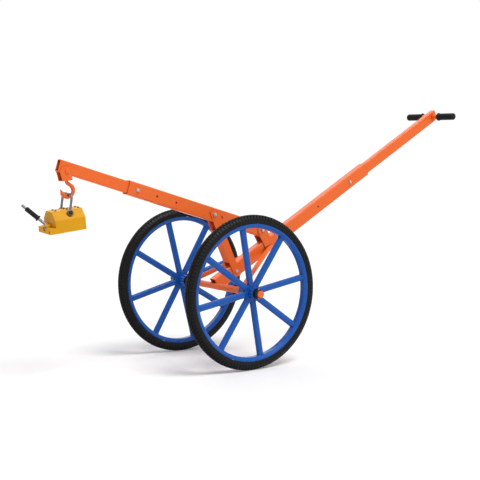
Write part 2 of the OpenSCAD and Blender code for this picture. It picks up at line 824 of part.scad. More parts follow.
// Hook with a threaded shank; its rod is joined by knuckles at the neck
module hook() {
    neck = [bowl_r * cos(neck_angle), 0, bowl_z + bowl_r * sin(neck_angle)];
    neck_run = [neck[0], neck[2] - neck_z];
    color("orangered") on_hang() translate([hook_x, 0, 0]) {
        translate([0, 0, neck_z])
            cylinder(r = shank_r, h = nut_z + hook_washer_t + hook_nut_h + shank_over - neck_z);
        translate([0, 0, neck_z]) sphere(r = hook_r + knuckle);
        translate([0, 0, neck_z]) rotate([0, atan2(neck_run[0], neck_run[1]), 0])
            cylinder(r = hook_r, h = norm(neck_run));
        translate(neck) sphere(r = hook_r + knuckle);
        translate([0, 0, bowl_z]) rotate([90, 0, 0]) rotate([0, 0, 180 + hook_tip_angle])
            rotate_extrude(angle = 180 - hook_tip_angle + neck_angle) translate([bowl_r, 0]) circle(r = hook_r);
        translate([0, 0, bowl_z]) rotate([0, -hook_tip_angle, 0]) translate([-bowl_r, 0, 0]) {
            cylinder(r1 = hook_r, r2 = hook_tip_r, h = hook_tip_len);
            translate([0, 0, hook_tip_len])
                cylinder(r1 = hook_tip_r, r2 = hook_tip_r / 2, h = hook_tip_r / 2);
        }
    }
}

module hook_nut() {
    color("silver") on_hang() translate([hook_x, 0, nut_z + hook_washer_t]) difference() {
        cylinder(d = hook_nut_af / cos(180 / hex), h = hook_nut_h, $fn = hex);
        translate([0, 0, -over]) cylinder(r = shank_r, h = hook_nut_h + 2 * over);
    }
}

module hook_washer() {
    color("lightgray") on_hang() translate([hook_x, 0, nut_z]) difference() {
        cylinder(r = hook_washer_r, h = hook_washer_t);
        translate([0, 0, -over]) cylinder(r = shank_r, h = hook_washer_t + 2 * over);
    }
}

// Shackle: a bow with bent corners, and an eye at the foot of each leg
module shackle() {
    bend_y = bow_half - bow_bend;
    bend_z = bow_h - bow_bend;
    color("dimgray") on_bow() translate([load_x, 0, lug_z]) difference() {
        union() {
            translate([0, 0, bow_h]) y_bar(bow_r, -bend_y, bend_y);
            for (turn = [0, 180]) rotate([0, 0, turn]) {
                translate([0, bend_y, bend_z]) rotate([90, 0, 90])
                    rotate_extrude(angle = 90) translate([bow_bend, 0]) circle(r = bow_r);
                translate([0, bow_half, 0]) {
                    cylinder(r = bow_r, h = bend_z);
                    y_bar(eye_r, -eye_t / 2, eye_t / 2);
                }
            }
        }
        y_bar(lug_r + eye_gap, -eye_out - over, eye_out + over);
    }
}

// Outline of the magnet's housing across its length
module house_outline() {
    polygon([[-mag_w / 2, base_h], [mag_w / 2, base_h], [mag_w / 2, shoulder_up], [roof_w / 2, mag_h],
        [-roof_w / 2, mag_h], [-mag_w / 2, shoulder_up]]);
}

// Slice of the housing between two places along X, from the magnet's face up
module house_slice(from, to) {
    translate([from, 0, face_z]) rotate([90, 0, 90]) linear_extrude(to - from) house_outline();
}

module rotor_bore() {
    translate([0, 0, rotor_z]) x_bar(rotor_r + run_gap, house_x + cover_t, house_x + house_len - cover_t);
}

module shaft_bore() {
    translate([0, 0, rotor_z]) x_bar(shaft_r + run_gap, house_x - over, house_x + cover_t + over);
}

module magnet_base() {
    color("gold") on_load() difference() {
        translate([base_x, -mag_w / 2, face_z]) cube([base_len, mag_w, base_h]);
        at_base_screws() x_bar(base_screw_r, -over, base_screw_depth);
        rotor_bore();
        shaft_bore();
        translate([0, 0, rotor_z]) x_bar(lever_hub_r + trough_gap, base_x - over, house_x);
    }
}

module magnet_housing() {
    color("goldenrod") on_load() difference() {
        house_slice(house_x + cover_t, house_x + house_len - cover_t);
        rotor_bore();
        for (side = [-1, 1]) translate([load_x, 0, lug_z]) {
            if (side < 0) y_bar(eye_r + pocket_gap, -mag_w, -eye_in + face_gap);
            else y_bar(eye_r + pocket_gap, eye_in - face_gap, mag_w);
            y_bar(lug_r, min(side * mag_w, side * lug_root), max(side * mag_w, side * lug_root));
        }
        at_roof_screws() translate([0, 0, -roof_screw_depth]) cylinder(r = roof_screw_r / 2, h = mag_h);
    }
}

module magnet_front_cover() {
    color("khaki") on_load() difference() {
        house_slice(house_x, house_x + cover_t);
        shaft_bore();
    }
}

module magnet_rear_cover() {
    color("khaki") on_load() house_slice(house_x + house_len - cover_t, house_x + house_len);
}

module at_roof_screws() {
    for (i = [-1 : 1], j = [-1, 1])
        translate([load_x + i * roof_screw_x, j * roof_screw_y / 2, face_z + mag_h]) children();
}

module magnet_roof_screws() {
    color("dimgray") on_load() at_roof_screws() {
        cylinder(r = roof_screw_r, h = roof_screw_h);
        translate([0, 0, -roof_screw_depth]) cylinder(r = roof_screw_r / 2, h = roof_screw_depth);
    }
}

// Places its children at the screws in the base's front
module at_base_screws() {
    for (side = [-1, 1])
        translate([base_x, side * (mag_w / 2 - base_screw_edge), face_z + base_screw_edge]) children();
}

module base_screws() {
    color("dimgray") on_load() at_base_screws() x_bar(base_screw_r, base_screw_sink, base_screw_depth);
}

// Pins that hold the shackle's eyes to the housing
module shackle_pins() {
    color("gray") on_load() translate([load_x, 0, lug_z]) for (side = [0, 1]) mirror([0, side, 0]) {
        y_bar(lug_r, lug_root, eye_out + face_gap + lug_head_t);
        y_bar(lug_head_r, eye_out + face_gap, eye_out + face_gap + lug_head_t);
    }
}

// Rotor with its shaft
module magnet_rotor() {
    color("lightgray") on_load() translate([0, 0, rotor_z]) difference() {
        union() {
            x_bar(rotor_r, house_x + cover_t + face_gap, house_x + cover_t + face_gap + rotor_len);
            x_bar(shaft_r, hub_end_x, house_x + cover_t + face_gap + over);
        }
        x_bar(lever_thread_r, hub_end_x - over, hub_end_x + lever_thread_len);
    }
}

// Places its children in the lever's frame: X along the lever from the rotor's axis
module on_lever() {
    on_load() translate([lever_x, 0, rotor_z]) rotate([lever_angle, 0, 0])
        rotate([0, 0, 90 + lever_lean]) children();
}

module lever_hub() {
    color("gold") difference() {
        on_load() translate([0, 0, rotor_z]) difference() {
            x_bar(lever_hub_r, hub_end_x, house_x - face_gap);
            x_bar(shaft_r, hub_end_x - over, house_x);
        }
        on_lever() x_bar(lever_r, lever_hub_r - lever_seat, 2 * lever_hub_r);
    }
}

module lever_bolt() {
    color("silver") on_load() translate([0, 0, rotor_z]) {
        x_bar(lever_bolt_r, hub_end_x - lever_bolt_h, hub_end_x);
        x_bar(lever_thread_r, hub_end_x - over, hub_end_x + lever_thread_len);
    }
}

module lever_rod() {
    color("silver") on_lever() x_bar(lever_r, lever_hub_r - lever_seat, lever_len);
}

module lever_grip() {
    color("black") on_lever() difference() {
        union() {
            x_bar(lever_grip_r, lever_grip_at, lever_grip_at + lever_grip_len);
            x_bar(lever_flange_r, lever_grip_at, lever_grip_at + lever_flange_t);
        }
        x_bar(lever_r, lever_grip_at - over, lever_grip_at + lever_grip_len + over);
    }
}

// Handle's sliding tube, slotted for the lock bolt
module handle_inner_tube() {
    color("orange") on_handle() translate([0, 0, handle_off]) difference() {
        x_tube(slide_w, slide_h, slide_corner, slide_wall,
            handle_lock - handle_travel - handle_slide_tail, handle_end);
        y_slot(slot_r, slide_w, handle_lock - handle_travel - slot_over, handle_lock);
        translate([tee_s, 0, 0]) y_bar(tee_r, -slide_w, slide_w);
    }
}

module handle_end_cap() {
    color("tomato") on_handle() translate([0, 0, handle_off])
        x_block(slide_w, slide_h, slide_corner, handle_end, handle_end + end_cap_t);
}

// Cross tube of the T handle
module tee_bar() {
    color("orangered") on_handle() translate([tee_s, 0, handle_off]) difference() {
        y_bar(tee_r, -tee_len / 2, tee_len / 2);
        y_bar(tee_r - tee_wall, -tee_len / 2 - over, tee_len / 2 + over);
    }
}

// Hand grip with a flange at its inner end and a closed, rounded outer end, along +Z
module grip_body() {
    end = grip_in + grip_len;
    rotate_extrude() difference() {
        union() {
            translate([0, grip_in]) square([grip_r - grip_round, grip_len]);
            translate([0, grip_in]) square([grip_r, grip_len - grip_round]);
            translate([grip_r - grip_round, end - grip_round]) circle(r = grip_round);
            translate([0, grip_in]) square([grip_flange_r, grip_flange_t]);
        }
        translate([0, grip_in - over]) square([tee_r, tee_len / 2 - grip_in + over]);
    }
}

module grip(turn) {
    color("black") on_handle() translate([tee_s, 0, handle_off]) rotate([turn, 0, 0]) grip_body();
}

module grip_near() { grip(90); }
module grip_far() { grip(-90); }

axle();
axle_shoulders();
axle_collars();
axle_cotters();
handle_outer_tube();
brace_near();
brace_far();
ear_near();
ear_far();
support_post();
boom_outer_tube();
frame_bolts();
frame_nuts();
frame_washers();
boom_lock_bolt();
boom_lock_nut();
handle_lock_bolt();
handle_lock_nut();
lock_washers();
tyre_near();
rim_near();
spokes_near();
hub_near();
bearing_near_outer();
bearing_near_inner();
tyre_far();
rim_far();
spokes_far();
hub_far();
bearing_far_outer();
bearing_far_inner();
boom_inner_tube();
hanger_pin();
hanger_bracket();
hook();
hook_nut();
hook_washer();
shackle();
magnet_base();
magnet_housing();
magnet_front_cover();
magnet_rear_cover();
magnet_roof_screws();
base_screws();
shackle_pins();
magnet_rotor();
lever_hub();
lever_bolt();
lever_rod();
lever_grip();
handle_inner_tube();
handle_end_cap();
tee_bar();
grip_near();
grip_far();
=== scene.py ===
"""Looks of the two-wheeled manhole cover lifter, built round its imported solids."""

import logging
import math
import random
from dataclasses import dataclass
from enum import Enum
from typing import Callable, Dict, Iterable, List, Optional, Sequence, Tuple

import bmesh
import bpy
from mathutils import Matrix, Vector


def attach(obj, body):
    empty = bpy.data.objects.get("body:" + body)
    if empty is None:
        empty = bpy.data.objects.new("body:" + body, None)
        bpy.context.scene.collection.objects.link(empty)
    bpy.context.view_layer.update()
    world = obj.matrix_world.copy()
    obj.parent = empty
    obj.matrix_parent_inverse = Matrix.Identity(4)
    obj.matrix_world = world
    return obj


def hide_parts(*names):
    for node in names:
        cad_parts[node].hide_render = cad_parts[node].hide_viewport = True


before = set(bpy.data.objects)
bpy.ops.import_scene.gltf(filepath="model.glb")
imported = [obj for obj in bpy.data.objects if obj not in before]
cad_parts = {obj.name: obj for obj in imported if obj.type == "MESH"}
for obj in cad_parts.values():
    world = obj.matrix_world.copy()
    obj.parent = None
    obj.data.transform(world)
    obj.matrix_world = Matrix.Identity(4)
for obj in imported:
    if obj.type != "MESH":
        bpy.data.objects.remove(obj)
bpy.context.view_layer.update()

LOG = logging.getLogger("lifter")
Profile = Sequence[Tuple[float, float]]
Colour = Tuple[float, float, float]
TURN = 2.0 * math.pi
HEX_STEP = math.radians(60.0)
HEX_SLOPE = 0.577
ROUND_STEPS = 4
JOIN_GAP = 0.00001
SEAM_GAP = 0.000001
LAMP_REACH = 6.0
EASE_ANGLE = math.radians(40.0)
MIX_SHARE, MIX_FIRST, MIX_SECOND, MIX_RESULT = 0, 6, 7, 2


class Side(Enum):
    """Side of the trolley, as a sign along Y."""

    NEAR = -1
    FAR = 1

    @property
    def word(self) -> str:
        """Word that the solids' names carry for this side."""
        return self.name.lower()


class Body(str, Enum):
    """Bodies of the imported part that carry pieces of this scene."""

    FRAME = "frame"
    WHEEL_NEAR = "wheel_near"
    WHEEL_FAR = "wheel_far"
    BOOM = "boom_slide"
    HOOK = "hook_swivel"
    SHACKLE = "shackle_bow"
    MAGNET = "magnet"
    LEVER = "lever"
    HANDLE = "handle_slide"


def srgb(red: int, green: int, blue: int) -> Colour:
    """Linear colour of an 8-bit display colour.

    Args:
        red: Red, from 0 to 255.
        green: Green, from 0 to 255.
        blue: Blue, from 0 to 255.

    Returns:
        The three linear values.
    """
    def linear(value: int) -> float:
        """Linear value of one channel."""
        share = value / 255.0
        return share / 12.92 if share <= 0.04045 else ((share + 0.055) / 1.055) ** 2.4

    return linear(red), linear(green), linear(blue)


@dataclass(frozen=True)
class Layout:
    """Places and sizes that the pieces share with the solids, in metres and degrees."""

    wheel_r: float = 0.330
    track: float = 0.550
    handle_angle: float = 29.6
    handle_off: float = 0.005
    handle_head: float = 0.004
    boom_angle: float = 16.9
    pivot_s: float = 0.330
    pivot_up: float = 0.081
    tube_h: float = 0.060
    tube_w: float = 0.040
    post_s: float = 0.118
    post_l: float = 0.272
    post_wall: float = 0.004
    ear_w: float = 0.046
    ear_t: float = 0.005
    ear_lap: float = 0.028
    boom_lock: float = 0.675
    handle_lock: float = 0.889
    boom_end: float = 1.044
    pin_back: float = 0.037
    pin_drop: float = 0.014
    handle_end: float = 1.551
    tee_back: float = 0.022
    hang_tilt: float = 6.5
    hanger_drop: float = 0.038
    hook_drop: float = 0.0405
    bowl_r: float = 0.0255
    hook_r: float = 0.008
    bow_r: float = 0.005
    bow_half: float = 0.0395
    bow_bend: float = 0.018
    bow_h: float = 0.071
    bow_tilt: float = 6.5
    bow_roll: float = 4.0
    load_tip: float = 13.0
    lug_up: float = 0.0755
    lug_back: float = 0.006
    mag_w: float = 0.107
    mag_h: float = 0.085
    base_len: float = 0.159
    house_len: float = 0.133
    rotor_up: float = 0.024
    lever_angle: float = 51.0
    lever_lean: float = 32.0
    gap: float = 0.0003

    @property
    def handle_frame(self) -> Matrix:
        """Frame on the axle with X along the handle and Z square to it."""
        turn = Matrix.Rotation(-math.radians(self.handle_angle), 4, "Y")
        return Matrix.Translation((0.0, 0.0, self.wheel_r)) @ turn

    @property
    def pivot(self) -> Vector:
        """Middle of the boom's pivot bolt."""
        return self.handle_frame @ Vector((self.pivot_s, 0.0, self.handle_off + self.pivot_up))

    @property
    def boom_frame(self) -> Matrix:
        """Frame on the boom's pivot with -X along the boom and Z square to it."""
        turn = Matrix.Rotation(math.radians(self.boom_angle), 4, "Y")
        return Matrix.Translation(self.pivot) @ turn

    @property
    def post_foot(self) -> Vector:
        """Middle of the bolt at the post's foot."""
        return self.handle_frame @ Vector((self.post_s, 0.0, self.handle_off))

    @property
    def post_head(self) -> Vector:
        """Middle of the bolt at the post's head."""
        return self.boom_frame @ Vector((-self.post_l, 0.0, 0.0))

    @property
    def pin(self) -> Vector:
        """Middle of the hanger's pin."""
        return self.boom_frame @ Vector((-(self.boom_end - self.pin_back), 0.0, -self.pin_drop))

    @property
    def hang_frame(self) -> Matrix:
        """Frame on the hanger's pin that leans with the hanger and the hook."""
        return Matrix.Translation(self.pin) @ Matrix.Rotation(-math.radians(self.hang_tilt), 4, "Y")

    @property
    def bow_frame(self) -> Matrix:
        """Frame between the shackle's pins that leans with the shackle."""
        rod = self.hang_frame @ Vector((0.0, 0.0, -self.hanger_drop - self.hook_drop))
        rod.z -= self.bowl_r
        lift = Matrix.Translation((0.0, 0.0, self.hook_r + self.bow_r + self.gap))
        roll = Matrix.Rotation(math.radians(self.bow_roll), 4, "X")
        lean = Matrix.Rotation(math.radians(self.bow_tilt), 4, "Y")
        drop = Matrix.Translation((0.0, 0.0, -self.bow_h))
        return Matrix.Translation(rod) @ roll @ lift @ lean @ drop

    @property
    def load_frame(self) -> Matrix:
        """Frame between the shackle's pins that tips with the magnet."""
        return self.bow_frame @ Matrix.Rotation(-math.radians(self.load_tip), 4, "Y")


AT = Layout()
SPIN_TO_Y = Matrix.Rotation(math.radians(-90.0), 4, "X")
SPIN_TO_FRONT = Matrix.Rotation(math.radians(-90.0), 4, "Y")


def y_place(middle: Vector, turn: float = 0.0) -> Matrix:
    """Frame whose Z runs along the row's +Y.

    Args:
        middle: Where the frame stands.
        turn: Turn about the row's Y, in degrees.

    Returns:
        The frame's matrix.
    """
    spin = Matrix.Rotation(math.radians(turn), 4, "Y")
    return Matrix.Translation(middle) @ spin @ SPIN_TO_Y


class Graph:
    """Short way to add and join shader nodes in one tree."""

    def __init__(self, tree: bpy.types.NodeTree) -> None:
        """Takes the tree that the nodes go into."""
        self.tree = tree

    def add(self, kind: str, props: Optional[Dict[str, object]] = None,
            **sockets: object) -> bpy.types.Node:
        """Adds one node.

        Args:
            kind: Node type after the ShaderNode prefix.
            props: Properties of the node itself.
            sockets: Inputs by name, with _ for a space, or in_0 for a place; a socket is joined.

        Returns:
            The new node.
        """
        node = self.tree.nodes.new("ShaderNode" + kind)
        for name, value in (props or {}).items():
            setattr(node, name, value)
        for name, value in sockets.items():
            key = int(name[3:]) if name.startswith("in_") else name.replace("_", " ")
            if isinstance(value, bpy.types.NodeSocket):
                self.tree.links.new(value, node.inputs[key])
            else:
                node.inputs[key].default_value = value
        return node

    def math(self, operation: str, left: object, right: object = 0.0) -> bpy.types.NodeSocket:
        """Joins two values by a math node.

        Args:
            operation: Blender's name of the operation.
            left: First value or socket.
            right: Second value or socket.

        Returns:
            The result's socket.
        """
        return self.add("Math", {"operation": operation}, in_0=left, in_1=right).outputs[0]

    def mix(self, share: object, first: object, second: object) -> bpy.types.NodeSocket:
        """Mixes two colours.

        Args:
            share: How much of the second colour shows.
            first: Colour or socket under it.
            second: Colour or socket over it.

        Returns:
            The colour's socket.
        """
        node = self.tree.nodes.new("ShaderNodeMix")
        node.data_type = "RGBA"
        for place, value in ((MIX_SHARE, share), (MIX_FIRST, first), (MIX_SECOND, second)):
            if isinstance(value, bpy.types.NodeSocket):
                self.tree.links.new(value, node.inputs[place])
            else:
                node.inputs[place].default_value = value if place == MIX_SHARE else (*value, 1.0)
        return node.outputs[MIX_RESULT]

    def spread(self, value: object, low: float, high: float,
               to_low: float, to_high: float) -> bpy.types.NodeSocket:
        """Maps a value from one range to another, clamped.

        Args:
            value: Value or socket to map.
            low: Start of its range.
            high: End of its range.
            to_low: Start of the new range.
            to_high: End of the new range.

        Returns:
            The mapped value's socket.
        """
        ranges = {"From_Min": low, "From_Max": high, "To_Min": to_low, "To_Max": to_high}
        return self.add("MapRange", None, Value=value, **ranges).outputs[0]


class Effect:
    """Shader node group with named inputs and outputs, built once and shared."""

    name: str = ""
    inputs: Sequence[Tuple[str, str, object]] = ()
    outputs: Sequence[Tuple[str, str]] = ()

    @classmethod
    def tree(cls) -> bpy.types.NodeTree:
        """Group's tree, built on the first call."""
        tree = bpy.data.node_groups.get(cls.name)
        if tree is None:
            tree = bpy.data.node_groups.new(cls.name, "ShaderNodeTree")
            for name, kind, value in cls.inputs:
                socket = tree.interface.new_socket(name, in_out="INPUT", socket_type=kind)
                socket.default_value = value
            for name, kind in cls.outputs:
                tree.interface.new_socket(name, in_out="OUTPUT", socket_type=kind)
            graph = Graph(tree)
            into = tree.nodes.new("NodeGroupInput").outputs
            out = tree.nodes.new("NodeGroupOutput").inputs
            for name, value in cls.wire(graph, into).items():
                tree.links.new(value, out[name])
        return tree

    @classmethod
    def wire(cls, graph: Graph, into: object) -> Dict[str, bpy.types.NodeSocket]:
        """Wires the group.

        Args:
            graph: Builder of the group's nodes.
            into: Sockets of the group's inputs.

        Returns:
            Socket of each output by name.
        """
        raise NotImplementedError

    @classmethod
    def place(cls, graph: Graph, **values: object) -> object:
        """Places the group in a material.

        Args:
            graph: Builder of the material's nodes.
            values: Inputs by name, with _ for a space.

        Returns:
            Outputs of the placed group.
        """
        node = graph.tree.nodes.new("ShaderNodeGroup")
        node.node_tree = cls.tree()
        for name, value in values.items():
            socket = node.inputs[name.replace("_", " ")]
            if isinstance(value, bpy.types.NodeSocket):
                graph.tree.links.new(value, socket)
            else:
                socket.default_value = value
        return node.outputs


FLOAT = "NodeSocketFloat"
TINT = "NodeSocketColor"


class PaintFilm(Effect):
    """Sprayed film: cloudy tone, uneven gloss and orange peel."""

    name = "paint_film"
    inputs = (("Colour", TINT, (1, 1, 1, 1)), ("Mottle", FLOAT, 0.05),
              ("Rough", FLOAT, 0.35), ("Peel", FLOAT, 700.0))
    outputs = (("Colour", TINT), ("Roughness", FLOAT), ("Height", FLOAT))
    cloud_scale = 9.0
    fine_scale = 55.0
    gloss_swing = 0.06

    @classmethod
    def wire(cls, graph: Graph, into: object) -> Dict[str, bpy.types.NodeSocket]:
        """Wires cloudy tone, gloss and peel from noise on the object's own coordinates."""
        where = graph.add("TexCoord").outputs["Object"]
        layers = ((cls.cloud_scale, 4.0), (cls.fine_scale, 3.0), (into["Peel"], 1.0))
        cloud, fine, peel = (
            graph.add("TexNoise", None, Vector=where, Scale=scale, Detail=detail).outputs[0]
            for scale, detail in layers)
        swing = graph.math("MULTIPLY", graph.math("SUBTRACT", cloud, 0.5), into["Mottle"])
        tone = graph.math("ADD", graph.math("MULTIPLY", swing, 2.0), 1.0)
        tinted = graph.add("HueSaturation", None, Color=into["Colour"], Value=tone).outputs[0]
        uneven = graph.spread(fine, 0.3, 0.7, -cls.gloss_swing, cls.gloss_swing)
        gloss = graph.math("ADD", into["Rough"], uneven)
        return {"Colour": tinted, "Roughness": gloss, "Height": peel}


class Crevice(Effect):
    """Mask of inside corners, where the colour is darkened as painted shade."""

    name = "crevice"
    inputs = (("Reach", FLOAT, 0.012),)
    outputs = (("Mask", FLOAT),)
    samples = 8
    closed = 0.25
    clear = 0.7

    @classmethod
    def wire(cls, graph: Graph, into: object) -> Dict[str, bpy.types.NodeSocket]:
        """Wires the mask from how enclosed a point is."""
        # Ambient occlusion turned into a mask for painted shade in corners and recesses.
        shade = graph.add("AmbientOcclusion", {"samples": cls.samples}, Distance=into["Reach"])
        return {"Mask": graph.spread(shade.outputs["AO"], cls.closed, cls.clear, 1.0, 0.0)}


class EdgeHighlight(Effect):
    """Mask of outside edges, broken up by noise, where a lighter colour is painted as a highlight.
    """

    name = "edge_highlight"
    inputs = (("Radius", FLOAT, 0.0012), ("Breakup", FLOAT, 160.0))
    outputs = (("Mask", FLOAT),)
    samples = 4
    sharp = 0.72
    flat = 0.96

    @classmethod
    def wire(cls, graph: Graph, into: object) -> Dict[str, bpy.types.NodeSocket]:
        """Wires the mask from a rounded normal against the true one."""
        where = graph.add("TexCoord").outputs["Object"]
        rounded = graph.add("Bevel", {"samples": cls.samples}, Radius=into["Radius"])
        true_normal = graph.add("NewGeometry").outputs["True Normal"]
        same = graph.add("VectorMath", {"operation": "DOT_PRODUCT"},
                         in_0=rounded.outputs[0], in_1=true_normal)
        edge = graph.spread(same.outputs["Value"], cls.sharp, cls.flat, 1.0, 0.0)
        # Noise breaks the painted edge highlight into patches.
        highlight_patches = graph.add("TexNoise", None, Vector=where, Scale=into["Breakup"],
                          Detail=3.0).outputs[0]
        return {"Mask": graph.math("MULTIPLY", edge, graph.spread(highlight_patches, 0.42, 0.62, 0.0, 1.0))}


class Grain(Effect):
    """Fine pits and bumps of castings, rubber and plated steel."""

    name = "grain"
    inputs = (("Scale", FLOAT, 500.0), ("Coarse", FLOAT, 60.0))
    outputs = (("Height", FLOAT), ("Cloud", FLOAT))

    @classmethod
    def wire(cls, graph: Graph, into: object) -> Dict[str, bpy.types.NodeSocket]:
        """Wires a fine height and a coarse cloud from noise."""
        where = graph.add("TexCoord").outputs["Object"]
        fine = graph.add("TexNoise", None, Vector=where, Scale=into["Scale"],
                         Detail=4.0, Roughness=0.6)
        cloud = graph.add("TexNoise", None, Vector=where, Scale=into["Coarse"], Detail=3.0)
        return {"Height": fine.outputs[0], "Cloud": cloud.outputs[0]}


class Dust(Effect):
    """Mask of thin, patchy dust."""

    name = "dust"
    inputs = (("Amount", FLOAT, 0.2),)
    outputs = (("Mask", FLOAT),)
    patch_scale = 24.0

    @classmethod
    def wire(cls, graph: Graph, into: object) -> Dict[str, bpy.types.NodeSocket]:
        """Wires the mask from the coarse clouds of the surface."""
        where = graph.add("TexCoord").outputs["Object"]
        cloud = graph.add("TexNoise", None, Vector=where, Scale=cls.patch_scale,
                          Detail=5.0, Roughness=0.65)
        patches = graph.spread(cloud.outputs[0], 0.4, 0.75, 0.0, 1.0)
        return {"Mask": graph.math("MULTIPLY", patches, into["Amount"])}


@dataclass(frozen=True)
class Finish:
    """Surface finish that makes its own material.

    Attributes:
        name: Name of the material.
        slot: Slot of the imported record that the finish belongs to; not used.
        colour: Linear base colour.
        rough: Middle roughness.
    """

    name: str
    slot: str
    colour: Colour
    rough: float

    def material(self) -> bpy.types.Material:
        """Material of this finish, built on the first call."""
        found = bpy.data.materials.get(self.name)
        if found is None:
            found = bpy.data.materials.new(self.name)
            found.use_nodes = True
            found.diffuse_color = (*self.colour, 1.0)
            graph = Graph(found.node_tree)
            shader = found.node_tree.nodes["Principled BSDF"]
            self.wire(graph, shader)
        return found

    def wire(self, graph: Graph, shader: bpy.types.Node) -> None:
        """Wires the finish into a Principled shader.

        Args:
            graph: Builder of the material's nodes.
            shader: The material's Principled shader.
        """
        raise NotImplementedError

    @staticmethod
    def bump(graph: Graph, shader: bpy.types.Node, height: object, strength: float,
             depth: float) -> None:
        """Joins a height to the shader's normal.

        Args:
            graph: Builder of the material's nodes.
            shader: The material's Principled shader.
            height: Socket of the height.
            strength: Strength of the bump.
            depth: Depth of the bump in metres.
        """
        bump = graph.add("Bump", None, Strength=strength, Distance=depth, Height=height)
        graph.tree.links.new(bump.outputs[0], shader.inputs["Normal"])


@dataclass(frozen=True)
class Paint(Finish):
    """Sprayed enamel with painted shade in the corners and a painted highlight on the outside
    edges.
    """

    mottle: float = 0.035
    peel: float = 650.0
    peel_share: float = 0.25
    peel_depth: float = 0.00025
    # Lighter tint painted on outside edges as a highlight.
    edge: Colour = (1.0, 1.0, 1.0)
    highlight_share: float = 0.18
    # Share and tint of the painted shade in inside corners.
    corner_share: float = 0.9
    shade: float = 0.18
    reach: float = 0.03
    shine: float = 0.5
    coat: float = 0.25
    coat_rough: float = 0.2

    def wire(self, graph: Graph, shader: bpy.types.Node) -> None:
        """Wires film, painted corner shade and painted edge highlights into the shader."""
        film = PaintFilm.place(graph, Colour=(*self.colour, 1.0), Mottle=self.mottle,
                               Rough=self.rough, Peel=self.peel)
        corner = Crevice.place(graph, Reach=self.reach)["Mask"]
        edge = EdgeHighlight.place(graph)["Mask"]
        # Painted shade darkens the inside corners; a painted highlight lightens the outside edges.
        shade_tint = tuple(channel * self.shade for channel in self.colour)
        shaded = graph.mix(graph.math("MULTIPLY", corner, self.corner_share), film["Colour"], shade_tint)
        highlighted = graph.mix(graph.math("MULTIPLY", edge, self.highlight_share), shaded, self.edge)
        graph.tree.links.new(highlighted, shader.inputs["Base Color"])
        graph.tree.links.new(film["Roughness"], shader.inputs["Roughness"])
        shader.inputs["Specular IOR Level"].default_value = self.shine
        shader.inputs["Coat Weight"].default_value = self.coat
        shader.inputs["Coat Roughness"].default_value = self.coat_rough
        self.bump(graph, shader, film["Height"], self.peel_share, self.peel_depth)


@dataclass(frozen=True)
class CastPaint(Finish):
    """Enamel over a rough casting, with painted shade in the corners and a painted highlight on the
    edges.
    """

    # Lighter tint painted on outside edges as a highlight.
    edge: Colour = (1.0, 1.0, 1.0)
    mottle: float = 0.12
    peel: float = 420.0
    grain: float = 260.0
    coarse: float = 45.0
    reach: float = 0.008
    edge_r: float = 0.0016
    breakup: float = 120.0
    shade: float = 0.4
    corner_share: float = 0.75
    highlight_share: float = 0.35
    grain_share: float = 0.35
    grain_depth: float = 0.0006
    shine: float = 0.18

    def wire(self, graph: Graph, shader: bpy.types.Node) -> None:
        """Wires cast grain under the paint film, with painted corner shade and painted edge
        highlights.
        """
        film = PaintFilm.place(graph, Colour=(*self.colour, 1.0), Mottle=self.mottle,
                               Rough=self.rough, Peel=self.peel)
        grain = Grain.place(graph, Scale=self.grain, Coarse=self.coarse)
        corner = Crevice.place(graph, Reach=self.reach)["Mask"]
        edge = EdgeHighlight.place(graph, Radius=self.edge_r, Breakup=self.breakup)["Mask"]
        # Painted shade darkens the inside corners; a painted highlight lightens the outside edges.
        shade_tint = tuple(channel * self.shade for channel in self.colour)
        shaded = graph.mix(graph.math("MULTIPLY", corner, self.corner_share), film["Colour"], shade_tint)
        highlighted = graph.mix(graph.math("MULTIPLY", edge, self.highlight_share), shaded, self.edge)
        graph.tree.links.new(highlighted, shader.inputs["Base Color"])
        graph.tree.links.new(film["Roughness"], shader.inputs["Roughness"])
        shader.inputs["Specular IOR Level"].default_value = self.shine
        self.bump(graph, shader, grain["Height"], self.grain_share, self.grain_depth)


@dataclass(frozen=True)
class Rubber(Finish):
    """Black rubber with a fine matt skin, a trace of dust and painted shade in its grooves."""

    dust: float = 0.06
    dust_colour: Colour = (0.06, 0.058, 0.054)
    grain: float = 700.0
    coarse: float = 40.0
    grain_share: float = 0.3
    grain_depth: float = 0.0003
    paler: float = 1.7
    bloom: float = 0.004
    bloom_share: float = 0.6
    gloss_swing: float = 0.08
    groove_shade_share: float = 0.9
    shade: float = 0.3
    shine: float = 0.2
    reach: float = 0.004

    def wire(self, graph: Graph, shader: bpy.types.Node) -> None:
        """Wires grain, dust and painted groove shade into the shader."""
        grain = Grain.place(graph, Scale=self.grain, Coarse=self.coarse)
        dust = Dust.place(graph, Amount=self.dust)["Mask"]
        lighter = tuple(channel * self.paler + self.bloom for channel in self.colour)
        bloom = graph.spread(grain["Cloud"], 0.35, 0.65, 0.0, self.bloom_share)
        tone = graph.mix(bloom, self.colour, lighter)
        dusty = graph.mix(dust, tone, self.dust_colour)
        # Painted shade darkens the tread's grooves.
        groove = Crevice.place(graph, Reach=self.reach)["Mask"]
        shade_tint = tuple(channel * self.shade for channel in self.colour)
        shaded = graph.mix(graph.math("MULTIPLY", groove, self.groove_shade_share), dusty, shade_tint)
        graph.tree.links.new(shaded, shader.inputs["Base Color"])
        swing = self.gloss_swing
        rough = graph.spread(grain["Cloud"], 0.3, 0.7, self.rough - swing, self.rough + swing)
        graph.tree.links.new(rough, shader.inputs["Roughness"])
        shader.inputs["Specular IOR Level"].default_value = self.shine
        self.bump(graph, shader, grain["Height"], self.grain_share, self.grain_depth)


